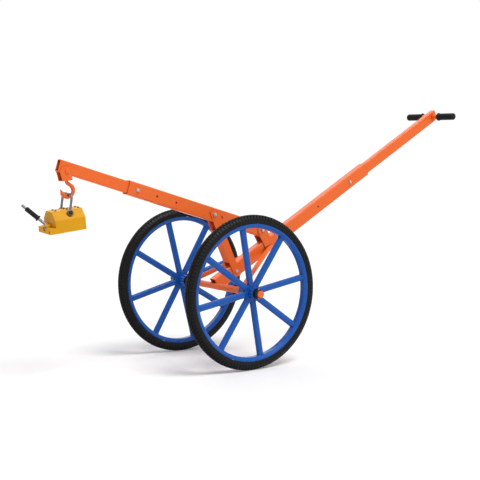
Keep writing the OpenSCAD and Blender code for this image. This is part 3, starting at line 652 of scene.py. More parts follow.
@dataclass(frozen=True)
class Metal(Finish):
    """Bare, plated or blackened steel."""

    metallic: float = 1.0
    grain: float = 420.0
    coarse: float = 130.0
    grain_share: float = 0.2
    depth: float = 0.0002
    reach: float = 0.006
    dull: float = 0.72
    dull_share: float = 0.8
    # Tint and share of the painted shade in inside corners.
    dark: float = 0.35
    corner_shade_share: float = 0.6
    polish: float = 0.07
    tarnish: float = 0.1

    def wire(self, graph: Graph, shader: bpy.types.Node) -> None:
        """Wires uneven gloss, painted shade in the corners and fine marks."""
        grain = Grain.place(graph, Scale=self.grain, Coarse=self.coarse)
        corner = Crevice.place(graph, Reach=self.reach)["Mask"]
        dull = tuple(channel * self.dull for channel in self.colour)
        # Painted shade darkens the inside corners.
        dark = tuple(channel * self.dark for channel in self.colour)
        cloudy = graph.spread(grain["Cloud"], 0.35, 0.7, 0.0, self.dull_share)
        tone = graph.mix(cloudy, self.colour, dull)
        corner_shaded = graph.mix(graph.math("MULTIPLY", corner, self.corner_shade_share), tone, dark)
        graph.tree.links.new(corner_shaded, shader.inputs["Base Color"])
        smooth, worn = self.rough - self.polish, self.rough + self.tarnish
        rough = graph.spread(grain["Cloud"], 0.3, 0.7, smooth, worn)
        graph.tree.links.new(rough, shader.inputs["Roughness"])
        shader.inputs["Metallic"].default_value = self.metallic
        self.bump(graph, shader, grain["Height"], self.grain_share, self.depth)


# The edge colours are lighter tints painted on outside edges as highlights.
ORANGE = Paint("orange_enamel", "frame_paint", srgb(245, 108, 36), 0.32, edge=srgb(255, 186, 130),
               shine=0.3, coat=0.1, coat_rough=0.12)
BLUE = Paint("blue_enamel", "wheel_paint", srgb(14, 84, 170), 0.3, edge=srgb(120, 170, 235),
             highlight_share=0.3, shade=0.3, shine=0.22, coat=0.15, coat_rough=0.06)
YELLOW = CastPaint("yellow_cast_enamel", "magnet_paint", srgb(228, 162, 20), 0.48,
                   edge=srgb(255, 220, 130))
TYRE = Rubber("black_tread_rubber", "tyre_rubber", srgb(6, 6, 8), 0.5, dust=0.02, shine=0.2)
GRIP = Rubber("black_grip_rubber", "grip_rubber", srgb(18, 18, 20), 0.6, dust=0.03, grain=900.0)
ZINC = Metal("zinc_plate", "zinc_steel", srgb(196, 198, 203), 0.3)
DULLED = Metal("dull_steel", "zinc_steel", srgb(132, 133, 138), 0.42)
BLACKED = Metal("blackened_steel", "dark_steel", srgb(58, 59, 62), 0.38, metallic=0.85)
FORGED = Metal("forged_steel", "dark_steel", srgb(122, 124, 130), 0.34, metallic=0.9,
               grain=240.0, depth=0.0004)
TURNED = Metal("turned_steel", "rotor_steel", srgb(170, 171, 174), 0.32)


class Shaper:
    """Collects the geometry of one piece in the row frame."""

    hex_steps = 48
    hex_shy = 0.05
    bead_sides = 8
    bead_step = 0.9
    bead_mean = 0.92
    bead_wave = 0.16
    bead_rate = 1.9
    bead_jitter = 0.06
    bead_end = 0.5

    def __init__(self) -> None:
        """Starts with nothing."""
        self.bm = bmesh.new()

    def ring(self, points: Iterable[Vector]) -> List[bmesh.types.BMVert]:
        """Adds a ring of points and gives its vertices."""
        return [self.bm.verts.new(point) for point in points]

    def bridge(self, first: Sequence, second: Sequence) -> None:
        """Adds a band of faces between two closed rings of equal length."""
        count = len(first)
        for index in range(count):
            after = (index + 1) % count
            self.bm.faces.new((first[index], first[after], second[after], second[index]))

    def fan(self, ring: Sequence, middle: Vector) -> None:
        """Closes a ring with triangles to a middle point."""
        tip = self.bm.verts.new(middle)
        for index, vertex in enumerate(ring):
            self.bm.faces.new((vertex, ring[(index + 1) % len(ring)], tip))

    def revolve(self, profile: Profile, place: Matrix, steps: int = 48, closed: bool = False,
                outline: Optional[Callable[[float, float], float]] = None) -> None:
        """Turns a profile about the place's Z.

        Args:
            profile: Pairs of radius and height; a radius of 0 closes an end.
            place: Frame of the axis.
            steps: Steps round the axis.
            closed: Whether the profile's end joins its start.
            outline: Radius as a function of radius and angle, for shapes that aren't round.
        """
        rings: List[object] = []
        for radius, height in profile:
            if radius <= 0.0:
                rings.append(place @ Vector((0.0, 0.0, height)))
                continue
            points = []
            for step in range(steps):
                angle = TURN * step / steps
                reach = outline(radius, angle) if outline else radius
                spot = Vector((reach * math.cos(angle), reach * math.sin(angle), height))
                points.append(place @ spot)
            rings.append(self.ring(points))
        pairs = list(zip(rings, rings[1:]))
        if closed:
            pairs.append((rings[-1], rings[0]))
        for first, second in pairs:
            if isinstance(first, Vector):
                self.fan(second, first)
            elif isinstance(second, Vector):
                self.fan(first, second)
            else:
                self.bridge(first, second)

    def sweep(self, path: Sequence[Vector], radii: Sequence[float], sides: int = 16,
              closed: bool = False) -> None:
        """Draws a round rod along a path.

        Args:
            path: Points of the middle line.
            radii: Radius at each point.
            sides: Sides of the rod.
            closed: Whether the path's end joins its start.
        """
        count = len(path)
        rings = []
        normal: Optional[Vector] = None
        for index, point in enumerate(path):
            before = path[index - 1] if index or closed else point
            after = path[(index + 1) % count] if index < count - 1 or closed else point
            along = (after - before).normalized()
            if normal is None:
                normal = along.orthogonal()
            normal = (normal - along * normal.dot(along)).normalized()
            across = along.cross(normal)
            spokes = [math.cos(TURN * k / sides) * normal + math.sin(TURN * k / sides) * across
                      for k in range(sides)]
            rings.append(self.ring(point + radii[index] * spoke for spoke in spokes))
        for first, second in zip(rings, rings[1:]):
            self.bridge(first, second)
        if closed:
            self.close_twisted(rings[-1], rings[0])
        else:
            self.fan(rings[0], path[0])
            self.fan(rings[-1], path[-1])

    def close_twisted(self, last: Sequence, first: Sequence) -> None:
        """Joins the last ring of a closed rod to its first at the turn that fits best."""
        count = len(first)
        best = min(range(count), key=lambda shift: sum(
            (last[k].co - first[(k + shift) % count].co).length for k in range(count)))
        self.bridge(last, [first[(k + best) % count] for k in range(count)])

    def bead(self, path: Sequence[Vector], radius: float, closed: bool, seed: int) -> None:
        """Lays a rippled weld bead along a path.

        Args:
            path: Corners of the bead's line.
            radius: Middle radius of the bead.
            closed: Whether the bead closes on itself.
            seed: Seed of its ripples.
        """
        draw = random.Random(seed)
        line = walk(path, radius * self.bead_step, closed)
        jitter = self.bead_jitter
        radii = [radius * (self.bead_mean + self.bead_wave * math.sin(index * self.bead_rate)
                           + draw.uniform(-jitter, jitter))
                 for index in range(len(line))]
        if not closed:
            radii[0] *= self.bead_end
            radii[-1] *= self.bead_end
        self.sweep(line, radii, self.bead_sides, closed)

    def hexagon(self, flats: float, low: float, high: float, place: Matrix, bore: float = 0.0,
                both: bool = False) -> None:
        """Adds a hexagon with turned corners at its top, or at both ends.

        Args:
            flats: Width across the flats.
            low: Height of its foot.
            high: Height of its top.
            place: Frame of its axis.
            bore: Radius of a hole through it, or 0.
            both: Whether the foot's corners are turned as well.
        """
        half = flats / 2.0
        steps = self.hex_steps

        def corner(angle: float) -> float:
            """Radius of the hexagon at an angle."""
            return half / math.cos((angle + HEX_STEP / 2.0) % HEX_STEP - HEX_STEP / 2.0)

        def loop(radius: Optional[float], height: float, turned: float) -> List[bmesh.types.BMVert]:
            """Ring at a radius, or on the hexagon, with its height cut back by the turning."""
            points = []
            for step in range(steps):
                angle = TURN * step / steps
                reach = corner(angle) if radius is None else radius
                drop = turned * (corner(angle) - half) * HEX_SLOPE if radius is None else 0.0
                flat = Vector((reach * math.cos(angle), reach * math.sin(angle), height - drop))
                points.append(place @ flat)
            return self.ring(points)

        shy = half * self.hex_shy
        rings = []
        if both:
            rings += [loop(half - shy, low, 0.0), loop(None, low + shy * HEX_SLOPE, -1.0)]
        else:
            rings.append(loop(None, low, 0.0))
        rings += [loop(None, high - shy * HEX_SLOPE, 1.0), loop(half - shy, high, 0.0)]
        for first, second in zip(rings, rings[1:]):
            self.bridge(first, second)
        if bore:
            inner_low, inner_high = loop(bore, low, 0.0), loop(bore, high, 0.0)
            self.bridge(rings[-1], inner_high)
            self.bridge(inner_high, inner_low)
            self.bridge(inner_low, rings[0])
        else:
            self.fan(rings[0], place @ Vector((0.0, 0.0, low)))
            self.fan(rings[-1], place @ Vector((0.0, 0.0, high)))

    def piece(self, name: str, body: Body, finish: Finish, stands_for: Sequence[str] = (),
              sharp: float = 38.0) -> None:
        """Makes the piece and hands it to the frame.

        Args:
            name: Name of the piece.
            body: Body that it moves with.
            finish: Finish that it wears.
            stands_for: Solids that it takes the place of.
            sharp: Angle in degrees above which an edge stays sharp.
        """
        bmesh.ops.recalc_face_normals(self.bm, faces=self.bm.faces)
        mesh = bpy.data.meshes.new(name)
        self.bm.to_mesh(mesh)
        self.bm.free()
        mesh.polygons.foreach_set("use_smooth", [True] * len(mesh.polygons))
        mesh.set_sharp_from_angle(angle=math.radians(sharp))
        mesh.materials.append(finish.material())
        obj = bpy.data.objects.new(name, mesh)
        bpy.context.scene.collection.objects.link(obj)
        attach(obj, body.value)
        if stands_for:
            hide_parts(*stands_for)
        LOG.info("%s: %d faces on %s", name, len(mesh.polygons), body.value)


def walk(path: Sequence[Vector], step: float, closed: bool) -> List[Vector]:
    """Points at even steps along a path.

    Args:
        path: Corners of the path.
        step: Distance between the points.
        closed: Whether the path's end joins its start.

    Returns:
        The points.
    """
    corners = list(path) + ([path[0]] if closed else [])
    lengths = [(b - a).length for a, b in zip(corners, corners[1:])]
    total = sum(lengths)
    count = max(6, round(total / step))
    points = []
    for index in range(count if closed else count + 1):
        goal = total * index / count
        for start, end, length in zip(corners, corners[1:], lengths):
            if goal <= length or end is corners[-1]:
                points.append(start.lerp(end, min(1.0, goal / length) if length else 0.0))
                break
            goal -= length
    return points


def arc(middle: Vector, first: Vector, second: Vector, start: float, end: float,
        steps: int) -> List[Vector]:
    """Points along an arc.

    Args:
        middle: Middle of the arc.
        first: Arm of the arc at 0 degrees.
        second: Arm of the arc at 90 degrees.
        start: First angle in degrees.
        end: Last angle in degrees.
        steps: Steps between the two.

    Returns:
        The points, both ends included.
    """
    angles = [math.radians(start + (end - start) * k / steps) for k in range(steps + 1)]
    return [middle + math.cos(angle) * first + math.sin(angle) * second for angle in angles]


def curve(start: Vector, first: Vector, second: Vector, end: Vector, steps: int) -> List[Vector]:
    """Points along a smooth bend.

    Args:
        start: First point.
        first: Point that the bend heads for at its start.
        second: Point that the bend comes from at its end.
        end: Last point.
        steps: Steps between the two ends.

    Returns:
        The points, both ends included.
    """
    points = []
    for k in range(steps + 1):
        share = k / steps
        rest = 1.0 - share
        points.append(rest ** 3 * start + 3.0 * rest ** 2 * share * first
                      + 3.0 * rest * share ** 2 * second + share ** 3 * end)
    return points


def rounded_outline(width: float, height: float, corner: float) -> List[Tuple[float, float]]:
    """Corners of a rectangle with round corners.

    Args:
        width: Size across.
        height: Size up.
        corner: Radius of the corners.

    Returns:
        Pairs of across and up, anticlockwise.
    """
    points = []
    for index, (i, j) in enumerate(((1, 1), (-1, 1), (-1, -1), (1, -1))):
        for k in range(ROUND_STEPS + 1):
            angle = math.radians(90.0 * index + 90.0 / ROUND_STEPS * k)
            points.append((i * (width / 2 - corner) + corner * math.cos(angle),
                           j * (height / 2 - corner) + corner * math.sin(angle)))
    return points


def dress(names: Iterable[str], finish: Finish, bevel: float = 0.0) -> None:
    """Gives solids a finish and eases their edges.

    Args:
        names: Names of the solids.
        finish: Finish that they wear.
        bevel: Width of the eased edges, or 0 for none.
    """
    for name in names:
        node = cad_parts[name]
        node.data.materials.clear()
        node.data.materials.append(finish.material())
        if bevel:
            weld = node.modifiers.new("join", "WELD")
            weld.merge_threshold = JOIN_GAP
            ease = node.modifiers.new("ease", "BEVEL")
            ease.width = bevel
            ease.segments = 2
            ease.limit_method = "ANGLE"
            ease.angle_limit = EASE_ANGLE
            even = node.modifiers.new("even", "WEIGHTED_NORMAL")
            even.mode = "FACE_AREA"
            even.keep_sharp = True
        LOG.info("%s wears %s", name, finish.name)


@dataclass
class Wheel:
    """Spoked wheel with a treaded tyre.

    Attributes:
        side: Side of the trolley that it is on.
        phase: Angle of its first spoke in degrees.
    """

    side: Side
    phase: float
    spokes: int = 8
    spoke_w: float = 0.028
    spoke_t: float = 0.023
    spoke_corner: float = 0.010
    spoke_sink: float = 0.0008
    boss_r: float = 0.0381
    rim_in: float = 0.274
    tyre_w: float = 0.048
    lip_angle: float = 126.0
    casing: float = 0.005
    tread: float = 0.0034
    pitches: int = 128
    wall_drop: float = 0.8
    lip_drop: float = 0.4
    lip_start: float = 110.0
    lip_back: float = 8.0
    bead_r: float = 0.0016
    bead_lift: float = 0.0004
    rim_ease: float = 0.0012
    bearing_ease: float = 0.0006
    tread_sharp: float = 30.0
    spoke_sharp: float = 50.0

    @property
    def body(self) -> Body:
        """Body that the wheel is."""
        return Body.WHEEL_NEAR if self.side is Side.NEAR else Body.WHEEL_FAR

    @property
    def place(self) -> Matrix:
        """Frame in the wheel's middle with Z along the axle."""
        return y_place(Vector((0.0, self.side.value * AT.track / 2.0, AT.wheel_r)))

    def build(self) -> None:
        """Builds tyre, spokes and welds and dresses the solids."""
        self.tyre()
        self.spoke_tubes()
        self.welds()
        word = self.side.word
        dress((f"rim_{word}", f"hub_{word}"), BLUE, self.rim_ease)
        dress((f"bearing_{word}_outer", f"bearing_{word}_inner"), BLACKED, self.bearing_ease)

    def tyre(self) -> None:
        """Builds the tyre with shoulder blocks, middle blocks and a centre rib."""
        half = self.tyre_w / 2.0
        middle = AT.wheel_r - half
        shoulder, block, rib, groove, wall = range(5)
        half_rows = ((5.0, rib), (7.0, groove), (11.0, groove), (13.0, block), (30.0, block),
                     (33.0, groove), (36.0, groove), (39.0, shoulder), (72.0, shoulder),
                     (76.0, wall), (84.0, wall), (98.0, wall), (112.0, wall),
                     (self.lip_angle, wall))
        rows = [(-angle, kind) for angle, kind in reversed(half_rows)] + list(half_rows)
        columns = ((0.0, False, False), (0.20, False, False), (0.24, False, True),
                   (0.46, False, True), (0.50, False, False), (0.68, False, False),
                   (0.72, True, False), (0.96, True, False))
        shaper = Shaper()
        inner, lip = half - self.casing, self.lip_angle - self.lip_back
        back = (lip, 80.0, 40.0, 0.0, -40.0, -80.0, -lip)
        rings = []
        for pitch in range(self.pitches):
            for share, open_shoulder, open_block in columns:
                turn = TURN * (pitch + share) / self.pitches
                points = []
                for angle, kind in rows:
                    cut = (kind == shoulder and open_shoulder) or (kind == block and open_block)
                    depth = self.tread if cut or kind == groove else 0.0
                    if kind == wall:
                        at_lip = abs(angle) >= self.lip_start
                        depth = self.tread * (self.lip_drop if at_lip else self.wall_drop)
                    points.append(self.section(middle, half - depth, angle, turn))
                points += [self.section(middle, inner, angle, turn) for angle in back]
                rings.append(shaper.ring(points))
        for index, ring in enumerate(rings):
            shaper.bridge(ring, rings[(index + 1) % len(rings)])
        word = self.side.word
        shaper.piece(f"tyre_tread_{word}", self.body, TYRE, (f"tyre_{word}",), self.tread_sharp)

    def section(self, middle: float, reach: float, angle: float, turn: float) -> Vector:
        """Point of the tyre's section.

        Args:
            middle: Radius of the section's middle.
            reach: Distance from the section's middle.
            angle: Angle round the section in degrees, 0 outward.
            turn: Angle round the wheel in radians.

        Returns:
            The point in the row frame.
        """
        radius = middle + reach * math.cos(math.radians(angle))
        height = reach * math.sin(math.radians(angle))
        return self.place @ Vector((radius * math.cos(turn), radius * math.sin(turn), height))

    def arms(self) -> List[Matrix]:
        """Frames of the spokes, each with X along its spoke."""
        step = 360.0 / self.spokes
        turns = [-math.radians(self.phase + step * spoke) for spoke in range(self.spokes)]
        return [self.place @ Matrix.Rotation(turn, 4, "Z") for turn in turns]

    def spoke_tubes(self) -> None:
        """Builds the spokes as tubes with wide rounds, coped to the boss and to the rim."""
        shaper = Shaper()
        outline = rounded_outline(self.spoke_w, self.spoke_t, self.spoke_corner)
        for arm in self.arms():
            rings = []
            for radius, sink in ((self.boss_r, -self.spoke_sink), (self.rim_in, self.spoke_sink)):
                points = [arm @ Vector((math.sqrt(radius ** 2 - across ** 2) + sink, across, up))
                          for across, up in outline]
                rings.append(shaper.ring(points))
                shaper.fan(rings[-1], arm @ Vector((radius + sink, 0.0, 0.0)))
            shaper.bridge(*rings)
        word = self.side.word
        shaper.piece(f"spoke_tubes_{word}", self.body, BLUE, (f"spokes_{word}",), self.spoke_sharp)

    def welds(self) -> None:
        """Lays a bead round both ends of each spoke."""
        shaper = Shaper()
        outline = rounded_outline(self.spoke_w + self.bead_r, self.spoke_t + self.bead_r,
                                  self.spoke_corner)
        for spoke, arm in enumerate(self.arms()):
            for radius, lift in ((self.rim_in, -self.bead_lift), (self.boss_r, self.bead_lift)):
                path = [arm @ Vector((math.sqrt(radius ** 2 - across ** 2) + lift, across, up))
                        for across, up in outline]
                shaper.bead(path, self.bead_r, True, spoke)
        shaper.piece(f"spoke_welds_{self.side.word}", self.body, BLUE)


@dataclass
class Axle:
    """Axle with the collars and spring pins that keep the wheels on."""

    hub_out: float = 0.3155
    collar_w: float = 0.022
    pin_r: float = 0.0025
    pin_bore: float = 0.0013
    pin_len: float = 0.044
    pin_edge: float = 0.0007
    pin_steps: int = 28
    bar_ease: float = 0.0015
    collar_ease: float = 0.0010

    def build(self) -> None:
        """Dresses the axle and turns the spring pins."""
        dress(("axle",), ORANGE, self.bar_ease)
        dress(("axle_shoulders", "axle_collars"), BLACKED, self.collar_ease)
        self.spring_pins()

    def spring_pins(self) -> None:
        """Builds both spring pins, each a short hollow pin with turned-in ends."""
        shaper = Shaper()
        half, edge = self.pin_len / 2.0, self.pin_edge
        end = [(self.pin_bore, half), (self.pin_r - edge, half), (self.pin_r, half - edge)]
        profile = end + [(radius, -height) for radius, height in reversed(end)]
        reach = self.hub_out + AT.gap + self.collar_w / 2.0
        for side in Side:
            middle = Vector((0.0, side.value * reach, AT.wheel_r))
            shaper.revolve(profile, Matrix.Translation(middle), self.pin_steps, True)
        shaper.piece("axle_spring_pins", Body.FRAME, ZINC, ("axle_cotters",))


@dataclass
class FrameTubes:
    """Handle's and boom's outer tubes with ears, braces, post and their welds and bolts."""

    axle_r: float = 0.015
    brace_r: float = 0.0105
    brace_s: float = 0.330
    brace_drop: float = 0.012
    brace_y: float = 0.1942
    brace_steps: int = 28
    bead_r: float = 0.0021
    bead_lift: float = 0.0004
    brace_bead: float = 0.9
    ear_stop: float = 0.004
    ear_seed: int = 3
    cope_seed: int = 11
    cope_steps: int = 24
    top_seed: int = 21
    foot_seed: int = 31
    pivot_turn: float = 12.0
    foot_turn: float = 17.0
    bolt_steps: int = 32
    bolt_r: float = 0.004
    bolt_af: float = 0.013
    head_h: float = 0.0055
    nut_h: float = 0.0065
    washer_t: float = 0.0015
    bolt_over: float = 0.003
    thread_pitch: float = 0.00125
    thread_depth: float = 0.0005
    washer_ease: float = 0.0004

    def build(self) -> None:
        """Dresses the tubes, lays the welds and fits the bolts."""
        dress(("handle_outer_tube", "boom_outer_tube"), ORANGE)
        dress(("ear_near", "ear_far", "support_post"), ORANGE)
        dress(("brace_near", "brace_far"), ORANGE)
        dress(("frame_washers", "lock_washers"), ZINC, self.washer_ease)
        self.welds()
        ear_half = AT.tube_w / 2.0 + AT.ear_t
        post_half = AT.tube_w / 2.0 + AT.post_wall
        tube_half = AT.tube_w / 2.0
        post = AT.post_head - AT.post_foot
        lean = math.degrees(math.atan2(post.x, post.z))
        triangle = ((AT.pivot, self.pivot_turn, ear_half), (AT.post_head, lean, post_half),
                    (AT.post_foot, lean + self.foot_turn, post_half))
        self.bolts("frame_hex_bolts", "frame_bolts", "frame_nuts", triangle)
        stop = AT.boom_frame @ Vector((-AT.boom_lock, 0.0, 0.0))
        self.bolts("boom_hex_bolt", "boom_lock_bolt", "boom_lock_nut",
                   ((stop, AT.boom_angle, tube_half),))
        stop = AT.handle_frame @ Vector((AT.handle_lock, 0.0, AT.handle_off))
        self.bolts("handle_hex_bolt", "handle_lock_bolt", "handle_lock_nut",
                   ((stop, -AT.handle_angle, tube_half),))

    def bolts(self, name: str, bolt_node: str, nut_node: str,
              stands: Sequence[Tuple[Vector, float, float]]) -> None:
        """Builds hexagon bolts with their nuts.

        Args:
            name: Name of the bolts' piece.
            bolt_node: Solid that the bolts take the place of.
            nut_node: Solid that the nuts take the place of.
            stands: Middle, turn in degrees and half width of the stack of each bolt.
        """
        heads, nuts = Shaper(), Shaper()
        for middle, turn, half in stands:
            place = y_place(middle, turn)
            seat = half + self.washer_t
            flip = place @ Matrix.Rotation(math.pi, 4, "X")
            heads.hexagon(self.bolt_af, seat, seat + self.head_h, flip)
            end = seat + self.nut_h + self.bolt_over
            root = self.bolt_r - self.thread_depth
            profile = [(0.0, -seat), (self.bolt_r, -seat), (self.bolt_r, seat)]
            pitch = self.thread_pitch
            for thread in range(int((end - seat) / pitch)):
                base = seat + thread * pitch
                profile += [(root, base + pitch * 0.5), (self.bolt_r, base + pitch)]
            profile += [(root, end), (0.0, end)]
            heads.revolve(profile, place, self.bolt_steps)
            nuts.hexagon(self.bolt_af, seat, seat + self.nut_h, place, self.bolt_r, True)
        heads.piece(name, Body.FRAME, ZINC, (bolt_node,))
        nuts.piece(name + "_nuts", Body.FRAME, ZINC, (nut_node,))

    def welds(self) -> None:
        """Lays the beads of ears, axle and braces on the handle."""
        shaper = Shaper()
        hand = AT.handle_frame
        for side in Side:
            sign = side.value
            face = sign * (AT.tube_w / 2.0 + self.bead_lift)
            left = AT.pivot_s - AT.ear_w / 2.0 - self.bead_lift
            right = AT.pivot_s + AT.ear_w / 2.0 + self.bead_lift
            top = AT.handle_off + AT.tube_h / 2.0 - self.ear_stop
            foot = AT.handle_off + AT.tube_h / 2.0 - AT.ear_lap - self.bead_lift
            corners = ((left, top), (left, foot), (right, foot), (right, top))
            line = [hand @ Vector((s, face, n)) for s, n in corners]
            shaper.bead(line, self.bead_r, False, self.ear_seed + sign)
            seat = math.degrees(math.acos(AT.handle_head / self.axle_r))
            along, across = Vector((self.axle_r, 0.0, 0.0)), Vector((0.0, 0.0, self.axle_r))
            cope = arc(Vector((0.0, face, 0.0)), along, across, -seat, seat, self.cope_steps)
            shaper.bead([hand @ point for point in cope], self.bead_r, False, self.cope_seed + sign)
            self.brace_welds(shaper, sign)
        shaper.piece("frame_welds", Body.FRAME, ORANGE)

    def brace_welds(self, shaper: Shaper, sign: int) -> None:
        """Lays the beads at both ends of one brace.

        Args:
            shaper: Where the beads go.
            sign: Side of the brace along Y.
        """
        hand = AT.handle_frame
        top = Vector((self.brace_s, sign * AT.tube_w / 2.0, AT.handle_off - self.brace_drop))
        foot = Vector((0.0, sign * self.brace_y, 0.0))
        along = (top - foot).normalized()
        first = along.cross(Vector((0.0, 0.0, 1.0))).normalized()
        second = along.cross(first)
        upper, lower = [], []
        for step in range(self.brace_steps):
            angle = TURN * step / self.brace_steps
            skin = self.brace_r * (math.cos(angle) * first + math.sin(angle) * second)
            start = top + skin
            reach = (top.y - start.y) / along.y
            upper.append(hand @ (start + reach * along))
            start = foot + skin
            a = along.x ** 2 + along.z ** 2
            b = start.x * along.x + start.z * along.z
            c = start.x ** 2 + start.z ** 2 - self.axle_r ** 2
            reach = (-b + math.sqrt(max(0.0, b * b - a * c))) / a
            lower.append(hand @ (start + reach * along))
        radius = self.bead_r * self.brace_bead
        shaper.bead(upper, radius, True, self.top_seed + sign)
        shaper.bead(lower, radius, True, self.foot_seed + sign)


PIN_DOME = ((1.0, 0.45), (0.93, 0.7), (0.72, 0.9), (0.0, 1.0))
LUG_DOME = ((1.0, 0.42), (0.93, 0.7), (0.75, 0.9), (0.45, 0.98), (0.0, 1.0))
EYE_FLARE = ((0.75, 0.75), (0.95, 0.95), (1.25, 1.0), (2.0, 1.0))


@dataclass
class BoomTip:
    """Boom's sliding tube with the hanger, its pin, the hook and the shackle."""

    pin_r: float = 0.006
    pin_head_r: float = 0.010
    pin_head_t: float = 0.004
    hanger_out: float = 0.0193
    shank_r: float = 0.007
    shank_top: float = 0.0133
    neck_drop: float = 0.013
    neck_angle: float = 40.0
    neck_reach: float = 0.010
    heel: float = 0.0008
    tip_len: float = 0.019
    tip_r: float = 0.0015
    tip_angle: float = 20.0
    eye_r: float = 0.0115
    eye_t: float = 0.010
    eye_hole: float = 0.0051
    eye_edge: float = 0.0018
    eye_round: float = 0.3
    shank_root: float = 0.3
    point_share: float = 0.55
    ring_steps: int = 40
    neck_steps: int = 12
    tip_steps: int = 8
    bend_steps: int = 14
    hook_sides: int = 24
    bow_sides: int = 20
    turned_steps: int = 48
    pin_steps: int = 40
    hanger_ease: float = 0.0008
    nut_ease: float = 0.0006
    hook_sharp: float = 60.0
    bow_sharp: float = 50.0

    def build(self) -> None:
        """Builds pin, hook and shackle and dresses the rest."""
        dress(("boom_inner_tube",), ORANGE)
        dress(("hanger_bracket",), ORANGE, self.hanger_ease)
        dress(("hook_nut", "hook_washer"), ZINC, self.nut_ease)
        self.pin()
        self.hook()
        self.shackle()

    def pin(self) -> None:
        """Builds the hanger's pin with a domed head at each side."""
        inner = self.hanger_out + AT.gap
        rim, tall = self.pin_head_r, self.pin_head_t
        half = [(self.pin_r, inner), (rim, inner)]
        half += [(rim * wide, inner + tall * high) for wide, high in PIN_DOME]
        profile = [(radius, -height) for radius, height in reversed(half)] + half
        shaper = Shaper()
        shaper.revolve(profile, y_place(AT.pin), self.pin_steps)
        shaper.piece("hanger_dome_pin", Body.BOOM, ORANGE, ("hanger_pin",))

    def hook(self) -> None:
        """Builds the forged hook as one rod from the shank round the bowl to its point."""
        web = -AT.hanger_drop
        bowl = Vector((0.0, 0.0, web - AT.hook_drop))
        side, up = Vector((AT.bowl_r, 0.0, 0.0)), Vector((0.0, 0.0, AT.bowl_r))
        ring = arc(bowl, side, up, self.neck_angle, self.tip_angle - 180.0, self.ring_steps)
        lean = math.radians(self.neck_angle)
        run = self.neck_reach * Vector((math.sin(lean), 0.0, -math.cos(lean)))
        start = Vector((0.0, 0.0, web - self.shank_r * self.shank_root))
        knee = Vector((0.0, 0.0, web - self.neck_drop))
        neck = curve(start, knee, ring[0] - run, ring[0], self.neck_steps)[:-1]
        path = [Vector((0.0, 0.0, web + self.shank_top)), Vector((0.0, 0.0, web))] + neck + ring
        radii = [self.shank_r] * 2
        radii += [self.shank_r + (AT.hook_r - self.shank_r) * k / len(neck)
                  for k in range(len(neck))]
        radii += [AT.hook_r + self.heel * max(0.0, math.cos(TURN * k / len(ring)))
                  for k in range(len(ring))]
        tip = math.radians(self.tip_angle)
        along = self.tip_len * Vector((-math.sin(tip), 0.0, math.cos(tip)))
        for step in range(1, self.tip_steps + 1):
            share = step / self.tip_steps
            path.append(ring[-1] + share * along)
            radii.append(radii[-1] if step == 1 else AT.hook_r + (self.tip_r - AT.hook_r) * share)
        radii[-1] = self.tip_r * self.point_share
        shaper = Shaper()
        shaper.sweep([AT.hang_frame @ point for point in path], radii, self.hook_sides)
        shaper.piece("forged_hook", Body.HOOK, ORANGE, ("hook",), self.hook_sharp)

    def shackle(self) -> None:
        """Builds the shackle with forged eyes that flare out of its legs."""
        side = Vector((0.0, AT.bow_half, 0.0))
        across, up = Vector((0.0, AT.bow_bend, 0.0)), Vector((0.0, 0.0, AT.bow_bend))
        inset, rise = AT.bow_half - AT.bow_bend, Vector((0.0, 0.0, AT.bow_h - AT.bow_bend))
        bow = arc(rise + Vector((0.0, inset, 0.0)), across, up, 0.0, 90.0, self.bend_steps)
        bow += arc(rise - Vector((0.0, inset, 0.0)), across, up, 90.0, 180.0, self.bend_steps)
        leg = [(self.eye_r * lift, AT.bow_r * wide) for lift, wide in EYE_FLARE]
        path = [side + Vector((0.0, 0.0, lift)) for lift, radius in leg] + bow
        path += [Vector((0.0, 0.0, lift)) - side for lift, radius in reversed(leg)]
        radii = [radius for lift, radius in leg]
        radii = radii + [AT.bow_r] * len(bow) + radii[::-1]
        shaper = Shaper()
        shaper.sweep([AT.bow_frame @ point for point in path], radii, self.bow_sides)
        half, edge, rim = self.eye_t / 2.0, self.eye_edge, self.eye_r
        cut = edge * self.eye_round
        face = [(self.eye_hole, half), (rim - edge, half), (rim - cut, half - cut),
                (rim, half - edge)]
        profile = face + [(radius, -height) for radius, height in reversed(face)]
        for sign in (-1, 1):
            place = AT.bow_frame @ Matrix.Translation(sign * side) @ SPIN_TO_Y
            shaper.revolve(profile, place, self.turned_steps, True)
        shaper.piece("forged_shackle", Body.SHACKLE, FORGED, ("shackle",), self.bow_sharp)


